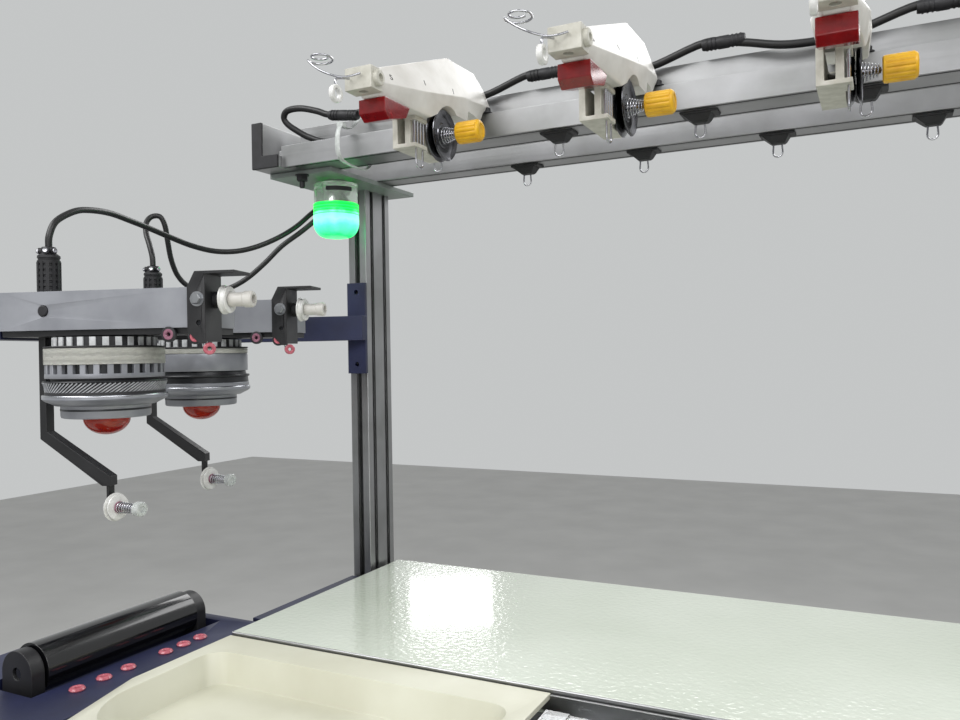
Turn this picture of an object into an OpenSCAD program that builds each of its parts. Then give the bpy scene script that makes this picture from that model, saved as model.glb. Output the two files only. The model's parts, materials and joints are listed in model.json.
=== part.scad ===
/* [Body] */
// Length of the machine body, without the feeder frame on its left
body_l = 2553; // [2450:1:2650]
// Depth of the machine from the fairing to the rear of the rail frame
body_d = 900; // [880:1:940]
// Height of the yarn table's top above the floor
table_z = 1200; // [1180:1:1230]
// Width of the side cover at each end
side_w = 204; // [190:1:220]
// Wall of the sheet metal covers
sheet_t = 3; // [2:0.5:4]
// Wall of the moulded housings
mould_t = 5; // [4:0.5:7]

/* [Yarn table] */
// Depth of the yarn table
table_d = 341; // [300:1:360]
// Distance of the table's front edge behind the middle of the machine
table_y = 74; // [64:1:84]
// Height of the table's folded edge
table_fold = 25; // [20:1:30]
// Depth of the aluminium strip along the front edge
strip_d = 20; // [15:1:25]

/* [Head housing] */
// Length of the moulded housing at each end
head_l = 375; // [350:1:400]
// Depth of the tool tray in its top
tray_h = 30; // [24:1:36]
// Rim left beside the tray
tray_rim = 17; // [14:1:22]
// Rim left behind the tray
tray_back = 40; // [34:1:46]
// Length of the tray from front to back
tray_d = 181; // [150:1:190]

/* [Knitting unit] */
// Length of the needle beds
bed_l = 1240; // [1200:1:1300]
// Width of a needle bed down its slope
bed_w = 240; // [220:1:250]
// Thickness of a needle bed
bed_t = 28; // [24:1:32]
// Height of the throat between the beds
throat_z = 980; // [970:1:990]
// Distance of the throat in front of the middle of the machine
throat_y = 130; // [125:1:135]
// Length of the cam carriage
carriage_l = 320; // [280:1:360]
// Travel of the cam carriage
carriage_travel = 1330; // [1200:10:1400]
// Diameter of the carriage's guide rails
guide_d = 30; // [25:1:35]
// Radius of the sliding covers
cover_r = 490; // [486:1:494]
// Wall of the sliding covers
cover_t = 4; // [3:0.5:5]

/* [Rail frame] */
// Height of the rails' underside above the yarn table
rail_rise = 541; // [500:1:580]
// Height of a rail's low front part
lip_h = 27; // [24:1:30]
// Height of a rail's rear wall
rail_h = 58; // [50:1:64]
// Depth of the front rail
rail_d = 48; // [44:1:52]
// Width of a post's face
post_w = 30; // [28:1:32]
// Depth of a post
post_d = 61; // [56:1:64]

/* [Tensioners] */
// Number of yarn tensioners along the front rail
tensioner_n = 9; // [4:1:9]
// Distance from one tensioner to the next
tensioner_pitch = 192; // [180:1:200]
// Diameter of a tension disc
disc_d = 52; // [44:1:56]
// Diameter of the adjusting knob
knob_d = 22; // [18:1:25]

/* [Feeders] */
// Turn of the feeder frame, seen from above
feeder_yaw = 16.3; // [14:0.1:18]
// Distance from one storage feeder to the next
feeder_pitch = 193; // [180:1:205]
// Length of a feeder's housing
feeder_l = 228; // [220:1:236]
// Height of a feeder's housing
feeder_h = 39; // [35:1:42]
// Width of a feeder's housing
feeder_w = 72; // [64:1:80]
// Largest diameter of a feeder's drum
drum_d = 120; // [112:1:126]
// Side of the square tube that carries the feeders
arm_tube = 34; // [30:1:38]

/* [Feed roller] */
// Diameter of the friction feed roller
roller_d = 50; // [44:1:54]
// Length of the friction feed roller
roller_l = 190; // [170:1:200]

/* [Hidden] */
$fn = 48;

half_l = body_l / 2;
half_d = body_d / 2;
seat = 0.3;
run = 0.05;

// Places along the length, from the middle of the body
table_hl = half_l - side_w;
plate_t = 12;
plate_x = table_hl - 36;
head_x = table_hl - head_l;

// Heights
frame_z = 70;
beam_h = 80;
beam_w = 60;
shelf_z = 896;
side_z = table_z - 13;
step_z = 1090;
step_y = 150;
rail_z = table_z + rail_rise;
lip_z = rail_z + lip_h;
tray_z = table_z - 3;

// Places from front to back
strip_y = table_y - 2;
table_rear = table_y + table_d;
rail_y = 215;
rear_rail_y = half_d - 105;
rear_rail_d = 42;
post_y = half_d - 91;
plate_y0 = 240;
cross_y0 = 210;

// Feeder frame, from the left end of the body
feeder_in = 126;
feeder_y = -20;
feeder_back = 98;
feeder_z = 1530.5;
corner_y = 366;
feeder_x = -half_l + feeder_in;
reach = (feeder_back + arm_tube) * cos(feeder_yaw) + corner_y * sin(feeder_yaw) - feeder_in;
shift_x = reach / 2;

// Sets a piece from the middle of the body to the middle of the whole machine.
module placed() translate([shift_x, 0, 0]) children();

// Extrudes an outline drawn in Y and Z along X.
module along_x(x0, x1) translate([x0, 0, 0]) rotate([90, 0, 90]) linear_extrude(x1 - x0) children();

// Extrudes an outline drawn in X and Z along Y.
module along_y(y0, y1) translate([0, y1, 0]) rotate([90, 0, 0]) linear_extrude(y1 - y0) children();

// Box between two corners.
module block(a, b) translate(a) cube(b - a);

// Outline of a rectangle with round corners.
module round_rect(x0, y0, x1, y1, r) {
    translate([x0 + r, y0]) square([x1 - x0 - 2 * r, y1 - y0]);
    translate([x0, y0 + r]) square([x1 - x0, y1 - y0 - 2 * r]);
    for (x = [x0 + r, x1 - r], y = [y0 + r, y1 - r]) translate([x, y]) circle(r);
}

// What is cut from a corner to round it: the solid lies towards sx and sy.
module corner_cut(p, r, sx, sy) {
    difference() {
        translate([p.x - (sx > 0 ? 1 : r), p.y - (sy > 0 ? 1 : r)]) square(r + 1);
        translate([p.x + sx * r, p.y + sy * r]) circle(r);
    }
}

// Round bar from one point to another.
module rod(a, b, d) {
    v = b - a;
    l = norm(v);
    translate(a) rotate([0, acos(v.z / l), atan2(v.y, v.x)]) cylinder(d = d, h = l);
}

// Bent wire through a list of points.
module wire(points, d) {
    for (i = [0 : len(points) - 2]) rod(points[i], points[i + 1], d);
    for (i = [1 : 1 : len(points) - 2]) translate(points[i]) sphere(d = d * 1.1, $fn = 16);
}

// Ring about Z.
module ring(r, d) rotate_extrude() translate([r, 0]) circle(d = d, $fn = 16);

// The same piece at both ends of the machine.
module both_ends() {
    children();
    mirror([1, 0, 0]) children();
}

// Hollow square section along X.
module tube_x(x0, x1, y0, z0, w, h, t) {
    difference() {
        block([x0, y0, z0], [x1, y0 + w, z0 + h]);
        block([x0 - 1, y0 + t, z0 + t], [x1 + 1, y0 + w - t, z0 + h - t]);
    }
}

// Welded frame

plate_front = -half_d + 70;
plate_rear = half_d - 105;
plate_top = table_z - 42;
guide_z = throat_z - 150;
guide_y = 222;
beam_t = 5;
window_r = 40;
take_z = 700;
take_r = 30;
take_journal = 10;
press_r = 20;
press_dy = take_r + press_r + 1;
carrier_bar_y = 20;
carrier_bar_t = 5;
carrier_bar_h = 22;
carrier_bar_z = throat_z + 48;

module end_plate() {
    difference() {
        along_x(plate_x - plate_t, plate_x) difference() {
            translate([plate_front, frame_z + beam_h]) square([plate_rear - plate_front, plate_top - frame_z - beam_h]);
            corner_cut([plate_front, plate_top], 160, 1, -1);
            corner_cut([plate_rear, plate_top], 20, -1, -1);
            round_rect(plate_front + 60, frame_z + beam_h + 90, plate_rear - 60, take_z - 90, window_r);
        }
        for (s = [-1, 1]) translate([plate_x - plate_t - 1, -throat_y + s * guide_y, guide_z])
            rotate([0, 90, 0]) cylinder(d = guide_d + 2 * seat, h = plate_t + 2);
        translate([plate_x - plate_t - 1, -throat_y, take_z]) rotate([0, 90, 0])
            cylinder(r = take_journal + run, h = plate_t + 2);
        translate([plate_x - plate_t - 1, -throat_y - press_dy, take_z]) rotate([0, 90, 0])
            cylinder(r = take_journal + run, h = plate_t + 2);
        for (s = [-1, 1]) block(
            [plate_x - plate_t - 1, -throat_y + s * carrier_bar_y - carrier_bar_t / 2 - seat, carrier_bar_z - seat],
            [plate_x + 1, -throat_y + s * carrier_bar_y + carrier_bar_t / 2 + seat, carrier_bar_z + carrier_bar_h + seat]);
    }
}

// Sloped beam that carries a needle bed: 1 is the front one, -1 the rear one.
bed_beam_t = 50;
module bed_beam() {
    translate([0, -throat_y - throat_gap, throat_z]) rotate([45, 0, 0])
        block([-plate_x + plate_t, -bed_w + 10, -bed_t - bed_beam_t], [plate_x - plate_t, -92, -bed_t]);
}

module base_frame() color("dimgray") {
    both_ends() {
        end_plate();
        tube_y(plate_x - beam_w, plate_front, plate_rear + 40, frame_z, beam_w, beam_h, beam_t);
        for (z = [930, 1110]) block([plate_x, post_y + 4, z], [table_hl + 10, post_y + post_d - 4, z + 40]);
        block([plate_x - plate_t, plate_rear, 920], [plate_x, post_y + post_d - 4, plate_top]);
    }
    for (y = [plate_front + 60, plate_rear - 100])
        tube_x(-plate_x + beam_w, plate_x - beam_w, y, frame_z, beam_w, beam_h, beam_t);
    bed_beam();
    translate([0, -2 * throat_y, 0]) mirror([0, 1, 0]) bed_beam();
    for (y = [table_y + 36, table_rear - 76])
        tube_x(-table_hl + 6, table_hl - 6, y, plate_top, 40, 40, 3);
}

// Hollow square section along Y.
module tube_y(x0, y0, y1, z0, w, h, t) {
    difference() {
        block([x0, y0, z0], [x0 + w, y1, z0 + h]);
        block([x0 + t, y0 - 1, z0 + t], [x0 + w - t, y1 + 1, z0 + h - t]);
    }
}

foot_d = 64;
module levelling_foot() {
    cylinder(d = foot_d, h = 10);
    translate([0, 0, 10]) cylinder(d1 = foot_d - 8, d2 = 30, h = 10);
    cylinder(d = 18, h = frame_z);
    translate([0, 0, frame_z - 14]) cylinder(d = 32, h = 14, $fn = 6);
}

module levelling_feet() color("darkslategray") {
    for (x = [-plate_x + beam_w / 2, 0, plate_x - beam_w / 2], y = [plate_front + 90, plate_rear - 70])
        translate([x, y, 0]) levelling_foot();
}

// Lower cabinets and the rear panel

cab_front = plate_front;
cab_rear = half_d - 40;
cab_z0 = 90;
cab_z1 = 860;
louvre_l = 120;
louvre_h = 6;

module end_cabinet() {
    difference() {
        block([plate_x, cab_front, cab_z0], [half_l, cab_rear, cab_z1]);
        block([plate_x - 1, cab_front + sheet_t, cab_z0 + sheet_t], [half_l - sheet_t, cab_rear - sheet_t, cab_z1 - sheet_t]);
        translate([0, 0, cab_z0 - 1]) linear_extrude(cab_z1 - cab_z0 + 2) corner_cut([half_l, cab_front], 3, -1, 1);
        for (i = [0 : 9]) translate([half_l - 5, cab_rear - 60 - louvre_l, cab_z0 + 60 + 16 * i])
            cube([10, louvre_l, louvre_h]);
        for (i = [0 : 9]) translate([half_l - 5, cab_front + 60, cab_z0 + 60 + 16 * i])
            cube([10, louvre_l, louvre_h]);
    }
    for (y = [cab_front + 30, cab_rear - 60]) block([plate_x, y, cab_z0 + sheet_t], [half_l - sheet_t, y + 30, cab_z0 + 20]);
}

module end_cabinets() color("midnightblue") both_ends() end_cabinet();

panel_z0 = 220;
panel_hl = plate_x - plate_t - seat;
panel_z1 = plate_top - 4;
module rear_panel() color("lightgray") {
    difference() {
        block([-panel_hl, cab_rear - 20, panel_z0], [panel_hl, cab_rear, panel_z1]);
        block([-panel_hl + sheet_t, cab_rear - 21, panel_z0 + sheet_t],
            [panel_hl - sheet_t, cab_rear - sheet_t, panel_z1 - sheet_t]);
        for (x = [-720, 0, 720], i = [0 : 11]) translate([x - 90, cab_rear - 5, panel_z0 + 90 + 18 * i])
            cube([180, 10, louvre_h]);
    }
}

// Side covers

side_r = 210;
bay_x = 65;
bay_w = 70;
bay_z = side_z - 22;
roller_in = 100;
roller_y = 5;
roller_z = table_z;
recess_y0 = -60;
recess_y1 = 140;
recess_z0 = 930;
recess_z1 = 1130;
recess_d = 60;
eyelet_in = 158;
eyelet_y = [-85, -55, -26, 22, 47, 71];

// Outline of a side cover in Y and Z. The inner one runs out below, where the cover is open.
module side_outline(g) {
    z0 = g > 0 ? cab_z1 - 1 : cab_z1;
    difference() {
        union() {
            translate([-half_d + g, z0]) square([half_d + step_y - 2 * g, side_z - g - z0]);
            translate([-half_d + g, z0]) square([half_d + cab_rear - 2 * g, step_z - g - z0]);
        }
        corner_cut([-half_d + g, side_z - g], side_r - g, 1, -1);
        corner_cut([step_y - g, side_z - g], 12, -1, -1);
        corner_cut([cab_rear - g, step_z - g], 30, -1, -1);
    }
}

// Side cover as it stands at the right end.
module side_shell() {
    difference() {
        along_x(table_hl, half_l) side_outline(0);
        along_x(table_hl + sheet_t, half_l - sheet_t) side_outline(sheet_t);
        block([table_hl - 1, post_y - 4, 880], [table_hl + post_w + 20, post_y + post_d + 40, step_z + 1]);
    }
    difference() {
        block([table_hl, step_y, step_z - sheet_t], [table_hl + 40, post_y - 4, side_z]);
        block([table_hl - 1, step_y - 1, step_z], [table_hl + 40 - sheet_t, post_y - 4 - sheet_t, side_z - sheet_t]);
    }
}

module right_side_cover() color("midnightblue") side_shell();

roller_x = -half_l + roller_in;
arm_shaft_x = -half_l + 30;
arm_shaft_z = recess_z1 - 38;
module left_side_cover() color("midnightblue") {
    difference() {
        union() {
            mirror([1, 0, 0]) side_shell();
            block([roller_x - bay_w / 2 - sheet_t, roller_y - roller_l / 2 - 26 - sheet_t, bay_z - sheet_t],
                [roller_x + bay_w / 2 + sheet_t, roller_y + roller_l / 2 + 26 + sheet_t, side_z - 1]);
            block([-half_l + 1, recess_y0 - sheet_t, recess_z0 - sheet_t],
                [-half_l + recess_d + sheet_t, recess_y1 + sheet_t, recess_z1 + sheet_t]);
        }
        block([roller_x - bay_w / 2, roller_y - roller_l / 2 - 26, bay_z],
            [roller_x + bay_w / 2, roller_y + roller_l / 2 + 26, side_z + 1]);
        block([-half_l - 1, recess_y0, recess_z0], [-half_l + recess_d, recess_y1, recess_z1]);
        for (y = eyelet_y) translate([-half_l + eyelet_in, y, side_z - 10]) cylinder(d = 9 + 2 * seat, h = 20);
    }
}

// Moulded housings

head_front = -half_d + 20;
head_top_r = 130;
head_mid_r = 50;
head_mid_y = -190;
head_flat_y = -60;
head_rear = strip_y - 2;

// Form of a housing, shrunk by g behind its walls: the outer front corner is round like a pillow.
module head_form(g, z0) {
    x0 = g > 0 ? head_x - 1 : head_x;
    y1 = g > 0 ? head_rear + 1 : head_rear;
    r = head_top_r - g;
    hull() {
        block([x0, head_flat_y, z0], [table_hl - g, y1, tray_z - g]);
        translate([table_hl - head_mid_r, head_mid_y, z0])
            cylinder(r = head_mid_r - g, h = tray_z - head_mid_r - z0);
        translate([table_hl - head_mid_r, head_mid_y, tray_z - head_mid_r]) sphere(head_mid_r - g, $fn = 32);
        translate([table_hl - head_top_r, head_front + head_top_r, z0]) cylinder(r = r, h = tray_z - head_top_r - z0);
        translate([table_hl - head_top_r, head_front + head_top_r, tray_z - head_top_r]) sphere(r);
        translate([x0, head_front + head_top_r, tray_z - head_top_r]) rotate([0, 90, 0]) cylinder(r = r, h = 10);
        block([x0, head_front + g, z0], [x0 + 10, head_front + g + 1, tray_z - head_top_r]);
    }
}

tray_x0 = head_x + tray_rim;
tray_x1 = table_hl - tray_rim;
tray_y1 = head_rear - tray_back;
tray_y0 = tray_y1 - tray_d;
tray_r = 22;
tray_front_r = 70;
tray_draft = 8;
tray_floor = tray_z - tray_h;

// Tray recess: the sides slope in towards the floor, and the outer front corner is wide.
module tray_form(g) hull() for (k = [0, 1]) {
    d = k * tray_draft - g;
    z = k == 0 ? tray_z + 2 : tray_floor - g;
    for (p = [[tray_x0, tray_y0, tray_r], [tray_x0, tray_y1, tray_r], [tray_x1, tray_y1, tray_r],
              [tray_x1, tray_y0, tray_front_r]]) {
        sx = p.x == tray_x0 ? 1 : -1;
        sy = p.y == tray_y0 ? 1 : -1;
        translate([p.x + sx * (p.z + d), p.y + sy * (p.z + d), z]) cylinder(r = p.z, h = 1, $fn = 32);
    }
}

module head_shell() {
    difference() {
        head_form(0, shelf_z);
        head_form(mould_t, shelf_z - 10);
    }
}

module head_housing() color("cornsilk") mirror([1, 0, 0]) {
    difference() {
        union() {
            head_shell();
            intersection() {
                tray_form(mould_t);
                head_form(0, shelf_z);
            }
        }
        tray_form(0);
    }
}

bezel_w = 214;
bezel_h = 140;
bezel_z = 912;
bezel_x = head_x + 14;
bezel_t = 12;
bezel_rim = 22;
screen_t = 6;

stop_x = head_x + 70;
stop_z = 1000;
stop_boss_r = 30;
stop_stem_r = 8;
stop_travel = 6;
module right_housing() color("cornsilk") {
    difference() {
        union() {
            head_shell();
            translate([stop_x, head_front + mould_t, stop_z]) rotate([90, 0, 0]) cylinder(r = stop_boss_r, h = mould_t + 8);
            translate([stop_x, head_front + mould_t + 20, stop_z]) rotate([90, 0, 0]) cylinder(r = 14, h = 21);
        }
        translate([stop_x, head_front + 60, stop_z]) rotate([90, 0, 0]) cylinder(r = stop_stem_r + run, h = 100);
    }
}

module emergency_stop() color("red") translate([stop_x, head_front - 8, stop_z]) rotate([90, 0, 0]) {
    translate([0, 0, -30]) cylinder(r = stop_stem_r, h = 30 + stop_travel + 1);
    translate([0, 0, stop_travel + 0.5]) rotate_extrude() difference() {
        square([20, 5.5]);
        corner_cut([20, 5.5], 4, -1, -1);
    }
}

fair_z0 = shelf_z - 256;
fair_y0 = -half_d + 55;
lug_z = shelf_z - 121;
bar_z = lug_z - 33;
bar_hl = 700;
bar_y = -half_d + 12;
bar_d = 14;
lug_pin_r = 4;
lug_x = [-560, 0, 560];
fair_y = head_front + 45;
module front_fairing() color("cornsilk") {
    difference() {
        along_x(-table_hl, table_hl) polygon([
            [fair_y, shelf_z], [-half_d + 8, shelf_z], [-half_d, shelf_z - 10], [-half_d, shelf_z - 36],
            [fair_y0, fair_z0], [fair_y0 + 12, fair_z0], [fair_y0 + 12, fair_z0 + sheet_t],
            [fair_y0 + sheet_t, fair_z0 + sheet_t], [-half_d + sheet_t, shelf_z - 36],
            [-half_d + sheet_t, shelf_z - 10], [-half_d + 9, shelf_z - sheet_t], [fair_y, shelf_z - sheet_t]
        ]);
    }
    for (x = lug_x, s = [-1, 1]) difference() {
        block([x + s * 12 - 3, bar_y - 7, lug_z - 8], [x + s * 12 + 3, bar_y + 16, lug_z + 8]);
        translate([x - 20, bar_y, lug_z]) rotate([0, 90, 0]) cylinder(r = lug_pin_r, h = 40);
    }
    for (x = lug_x) translate([x - 15, bar_y, lug_z]) rotate([0, 90, 0]) cylinder(r = lug_pin_r, h = 30);
}

module start_bar() color("silver") {
    difference() {
        union() {
            translate([-bar_hl, bar_y, bar_z]) rotate([0, 90, 0]) cylinder(d = bar_d, h = 2 * bar_hl);
            for (x = lug_x) {
                block([x - 7, bar_y - 4, bar_z], [x + 7, bar_y + 4, lug_z]);
                translate([x - 7, bar_y, lug_z]) rotate([0, 90, 0]) cylinder(r = 7.5, h = 14);
            }
        }
        for (x = lug_x) translate([x - 8, bar_y, lug_z]) rotate([0, 90, 0]) cylinder(r = lug_pin_r + run, h = 16);
    }
}

module screen_bezel() color("midnightblue") mirror([1, 0, 0]) along_y(head_front - bezel_t, head_front) difference() {
    round_rect(bezel_x, bezel_z, bezel_x + bezel_w, bezel_z + bezel_h, 10);
    round_rect(bezel_x + bezel_rim, bezel_z + bezel_rim, bezel_x + bezel_w - bezel_rim, bezel_z + bezel_h - bezel_rim, 4);
}

module screen() color("gray") mirror([1, 0, 0]) block(
    [bezel_x + bezel_rim + 2, head_front - screen_t, bezel_z + bezel_rim + 2],
    [bezel_x + bezel_w - bezel_rim - 2, head_front, bezel_z + bezel_h - bezel_rim - 2]);

// Yarn table and rail frame

module yarn_table() color("ivory") {
    difference() {
        along_x(-table_hl, table_hl) difference() {
            translate([table_y, table_z - table_fold]) square([table_d, table_fold]);
            translate([table_y + 2, table_z - table_fold - 1]) square([table_d - 4, table_fold - 1]);
        }
    }
}

strip_t = table_y - strip_y - seat;
module table_strip() color("silver") along_x(-table_hl, table_hl) polygon([
    [strip_y, table_z - strip_d], [strip_y, table_z - 1], [strip_y + 1, table_z], [strip_y + strip_t, table_z],
    [strip_y + strip_t, table_z - strip_d]
]);

post_z0 = 900;
slot_w = 8;
slot_in = 16;
slot_d = 9;

// Section of a post: T-slots in the front and rear faces, two in each side face.
module post_section() {
    difference() {
        round_rect(0, 0, post_w, post_d, 1.5);
        for (y = [0, post_d - 3]) translate([post_w / 2 - slot_w / 2, y - 1]) square([slot_w, 5]);
        for (y = [3, post_d - slot_d]) translate([post_w / 2 - slot_in / 2, y]) square([slot_in, slot_d - 3]);
        for (y = [post_w / 2, post_d - post_w / 2], s = [0, 1]) {
            translate([s * (post_w - 2) - 1, y - slot_w / 2]) square([4, slot_w]);
            translate([s * (post_w - 7) + 2, y - slot_in / 2]) square([3, slot_in]);
        }
        for (y = [post_w / 2, post_d - post_w / 2]) translate([post_w / 2, y]) circle(d = 7, $fn = 24);
    }
}

module posts() color("silver") both_ends()
    translate([table_hl + 10, post_y, post_z0]) linear_extrude(rail_z - 6 - post_z0) post_section();

cap_plate_t = 6;
module post_plates() color("slategray") both_ends()
    block([table_hl - 20, plate_y0, rail_z - cap_plate_t], [table_hl + 79, half_d - 8, rail_z]);

cross_x0 = table_hl + 39;
cross_w = 40;
leg_t = 15;
// L section of the cross member: the tall leg is on the outside.
module cross_section(g) {
    translate([cross_x0 + g, rail_z + g]) square([cross_w - 2 * g, leg_t - 2 * g]);
    translate([cross_x0 + cross_w - leg_t + g, rail_z + g]) square([leg_t - 2 * g, rail_h - 2 * g]);
}

module cross_members() color("silver") both_ends() {
    difference() {
        along_y(cross_y0, half_d) cross_section(0);
        along_y(cross_y0 - 1, half_d + 1) cross_section(2.5);
    }
    along_y(cross_y0 + 5, half_d - 5) translate([cross_x0, rail_z + leg_t]) square([3, 6]);
}

rail_hl = cross_x0;
// Section of the front rail in Y and Z: a low hollow front and a tall rear wall.
module front_rail() color("silver") along_x(-rail_hl, rail_hl) difference() {
    union() {
        translate([rail_y, rail_z]) square([rail_d, lip_h - 9]);
        translate([rail_y, rail_z]) square([6, lip_h]);
        translate([rail_y + rail_d - 9, rail_z]) square([9, rail_h]);
    }
    translate([rail_y + 3, rail_z + 3]) square([rail_d - 6, lip_h - 15]);
    translate([rail_y + rail_d - 6, rail_z + lip_h - 6]) square([3, rail_h - lip_h + 3]);
}

module rear_rail() color("silver") along_x(-rail_hl, rail_hl) difference() {
    union() {
        translate([rear_rail_y, rail_z]) square([rear_rail_d, lip_h]);
        translate([rear_rail_y + rear_rail_d - 9, rail_z]) square([9, rail_h]);
    }
    translate([rear_rail_y + 3, rail_z + 3]) square([rear_rail_d - 6, lip_h - 6]);
    translate([rear_rail_y + rear_rail_d - 6, rail_z + lip_h]) square([3, rail_h - lip_h - 3]);
}

grommet_x = table_hl + 56;
grommet_y = rear_rail_y;
module end_caps() color("black") {
    both_ends() along_y(cross_y0 - 4, cross_y0) cross_section(-0.5);
    translate([-grommet_x, grommet_y, rail_z - cap_plate_t - 8]) difference() {
        cylinder(d = 30, h = 8);
        translate([0, 0, -1]) cylinder(d = 20, h = 10);
    }
}

clip_n = 12;
clip_pitch = 152;
module loop_clips() color("black") {
    for (i = [0 : clip_n - 1]) {
        x = (i - (clip_n - 1) / 2) * clip_pitch;
        translate([x, rear_rail_y + 8, rail_z]) loop_clip();
        translate([x - 60, rail_y + 10, rail_z]) loop_clip();
    }
}

// Trapezoid clip with a wire loop below it.
module loop_clip() {
    along_x(-19, 19) polygon([[0, 0], [22, 0], [17, -11], [5, -11]]);
    for (s = [-1, 1]) rod([s * 4.5, 11, -10.5], [s * 4.5, 11, -20], 1.8);
    translate([0, 11, -20]) rotate([-90, 0, 0]) rotate_extrude(angle = 180) translate([4.5, 0]) circle(d = 1.8, $fn = 16);
}

// Yarn tensioners on the front rail: each is drawn at its own middle, from the rail's lip.

tensioner_in = 438;
tensioner_x0 = -half_l + tensioner_in;
axis_y = -90;
axis_z = -45;
disc_x = 9;
fin_y0 = -207;
fin_bottom = -36;
fin_r = 2.5;
fin_tip = -126;
fin_step = -49;
module each_tensioner() for (i = [0 : tensioner_n - 1])
    translate([tensioner_x0 + i * tensioner_pitch, rail_y, lip_z]) children();

// Corners of the boat-shaped housing: place along its length, height and half width.
fin_corners = [
    [fin_y0, -20, 8], [fin_y0, -27, 12], [fin_y0, fin_bottom, 10], [-150, -20, 21], [-150, fin_bottom, 16],
    [fin_tip, fin_bottom, 17], [fin_step, -21, 18], [-60, 3, 21], [-8, 9, 18], [18, 14, 13], [18, 4, 11],
    [-194, -10, 5], [-70, 42, 6], [-10, 44, 6], [18, 32, 6]
];

// Housing with a low tip before the disc, a notch round it and a step up to the rail.
module fin() difference() {
    hull() for (p = fin_corners, s = [-1, 1])
        translate([s * (p[2] - fin_r), p[0] + (p[0] > 0 ? -fin_r : fin_r), p[1] + (p[1] > 0 ? -fin_r : fin_r)])
            sphere(fin_r, $fn = 12);
    along_x(-30, 30) polygon([
        [fin_tip, fin_bottom - 20], [fin_tip, fin_bottom], [fin_tip + 28, -22], [fin_step, -21], [fin_step, -11],
        [-6, -11], [-6, seat], [60, seat], [60, fin_bottom - 20]
    ]);
}

module tensioner_housings() color("whitesmoke") each_tensioner() {
    difference() {
        fin();
        translate([disc_x - 7, axis_y, axis_z]) rotate([0, 90, 0]) cylinder(r = disc_d / 2 + 2, h = 30);
    }
    block([-9, -2, 0], [9, 32, 8]);
    translate([0, 20, 8]) cylinder(d = 12, h = 5);
}

lamp_y0 = -204;
lamp_y1 = -160;
module tensioner_lamps() color("firebrick") each_tensioner() difference() {
    along_x(-14, 14) polygon([
        [lamp_y0, fin_bottom], [lamp_y1, fin_bottom], [lamp_y1 - 7, fin_bottom - 11], [lamp_y0 + 8, fin_bottom - 19],
        [lamp_y0, fin_bottom - 13]
    ]);
    block([-11, lamp_y0 + 6, fin_bottom - 10], [11, lamp_y1 - 8, fin_bottom + 1]);
}

bracket_y0 = -141;
bracket_y1 = -70;
bracket_l = 23;
bracket_z = fin_bottom - 30;
bracket_lip = 8;
bracket_t = 4;
module tensioner_brackets() color("linen") each_tensioner() {
    difference() {
        block([-18, bracket_y0, bracket_z], [2, bracket_y1, fin_bottom]);
        block([-12, bracket_y0 - 1, bracket_z + bracket_t], [-4, bracket_y1 - 6, fin_bottom + 1]);
        translate([-19, axis_y, axis_z]) rotate([0, 90, 0]) cylinder(r = 3 + seat, h = 30);
    }
    for (z = [bracket_z, fin_bottom - bracket_t])
        block([2, bracket_y0, z], [bracket_lip, bracket_y0 + bracket_l, z + bracket_t]);
    difference() {
        block([-14, fin_y0 - 18, fin_bottom + 2], [14, fin_y0, -14]);
        translate([0, fin_y0 - 9, fin_bottom]) cylinder(r = 4, h = 40);
    }
}

module tensioner_discs() color("gray") each_tensioner() translate([0, axis_y, axis_z]) rotate([0, 90, 0]) {
    translate([0, 0, -18]) cylinder(r = 3, h = 46);
    translate([0, 0, disc_x]) dish();
    translate([0, 0, disc_x]) mirror([0, 0, 1]) dish();
    for (i = [0 : 3]) translate([0, 0, disc_x + 4 + i * 3.6]) ring(3 + seat + 0.8, 1.6);
}

// Saucer-shaped tension disc with a turned-out edge.
module dish() rotate_extrude() polygon([
    [2.5, 0.8], [disc_d / 2 - 5, 0.6], [disc_d / 2, 3.4], [disc_d / 2 - 0.4, 4.2], [disc_d / 2 - 6, 1.9],
    [8, 2.2], [2.5, 2.2]
]);

module tensioner_knobs() color("goldenrod") each_tensioner() translate([28, axis_y, axis_z]) rotate([0, 90, 0])
    difference() {
        union() {
            cylinder(d = knob_d, h = 26);
            translate([0, 0, 26]) cylinder(d = knob_d - 8, h = 1.5);
        }
        for (a = [0 : 30 : 330]) rotate([0, 0, a]) translate([knob_d / 2 + 0.6, 0, 2]) cylinder(d = 3, h = 20, $fn = 16);
    }

module tensioner_wires() color("gainsboro") each_tensioner() {
    nose = fin_y0 - 18 - seat - 1.1;
    wire([[8, nose, -22], [10, nose - 19, -12], [-4, nose - 39, -6]], 2.2);
    translate([-13, nose - 39, -6]) ring(9, 2.2);
    wire([[-8, nose, -26], [-12, nose - 12, -32]], 2.2);
    translate([-12, nose - 12, -39]) rotate([0, 90, 0]) ring(6, 3.4);
    for (i = [0 : 3]) rod([5, bracket_y0 + 3 + 5.7 * i, bracket_z + bracket_t], [5, bracket_y0 + 3 + 5.7 * i, fin_bottom - bracket_t], 2.8);
    wire([
        [5, bracket_y0 + 6, bracket_z - seat], [5, bracket_y0 + 6, bracket_z - 14], [5, bracket_y0 + 9, bracket_z - 18],
        [5, bracket_y0 + 15, bracket_z - 18], [5, bracket_y0 + 18, bracket_z - 14], [5, bracket_y0 + 18, bracket_z - seat]
    ], 2);
}

// Signal lamp under the left plate

lamp_x = -table_hl - 10;
lamp_y = 290;
lamp_d = 60;
module signal_lamp_body() color("whitesmoke") translate([lamp_x, lamp_y, rail_z - cap_plate_t]) mirror([0, 0, 1]) {
    cylinder(d = 26, h = 6);
    translate([0, 0, 6]) difference() {
        cylinder(d = lamp_d - 2, h = 26);
        for (a = [200, 250]) rotate([0, 0, a]) translate([lamp_d / 2 - 4, -9, 8]) cube([6, 18, 10]);
    }
}

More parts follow.
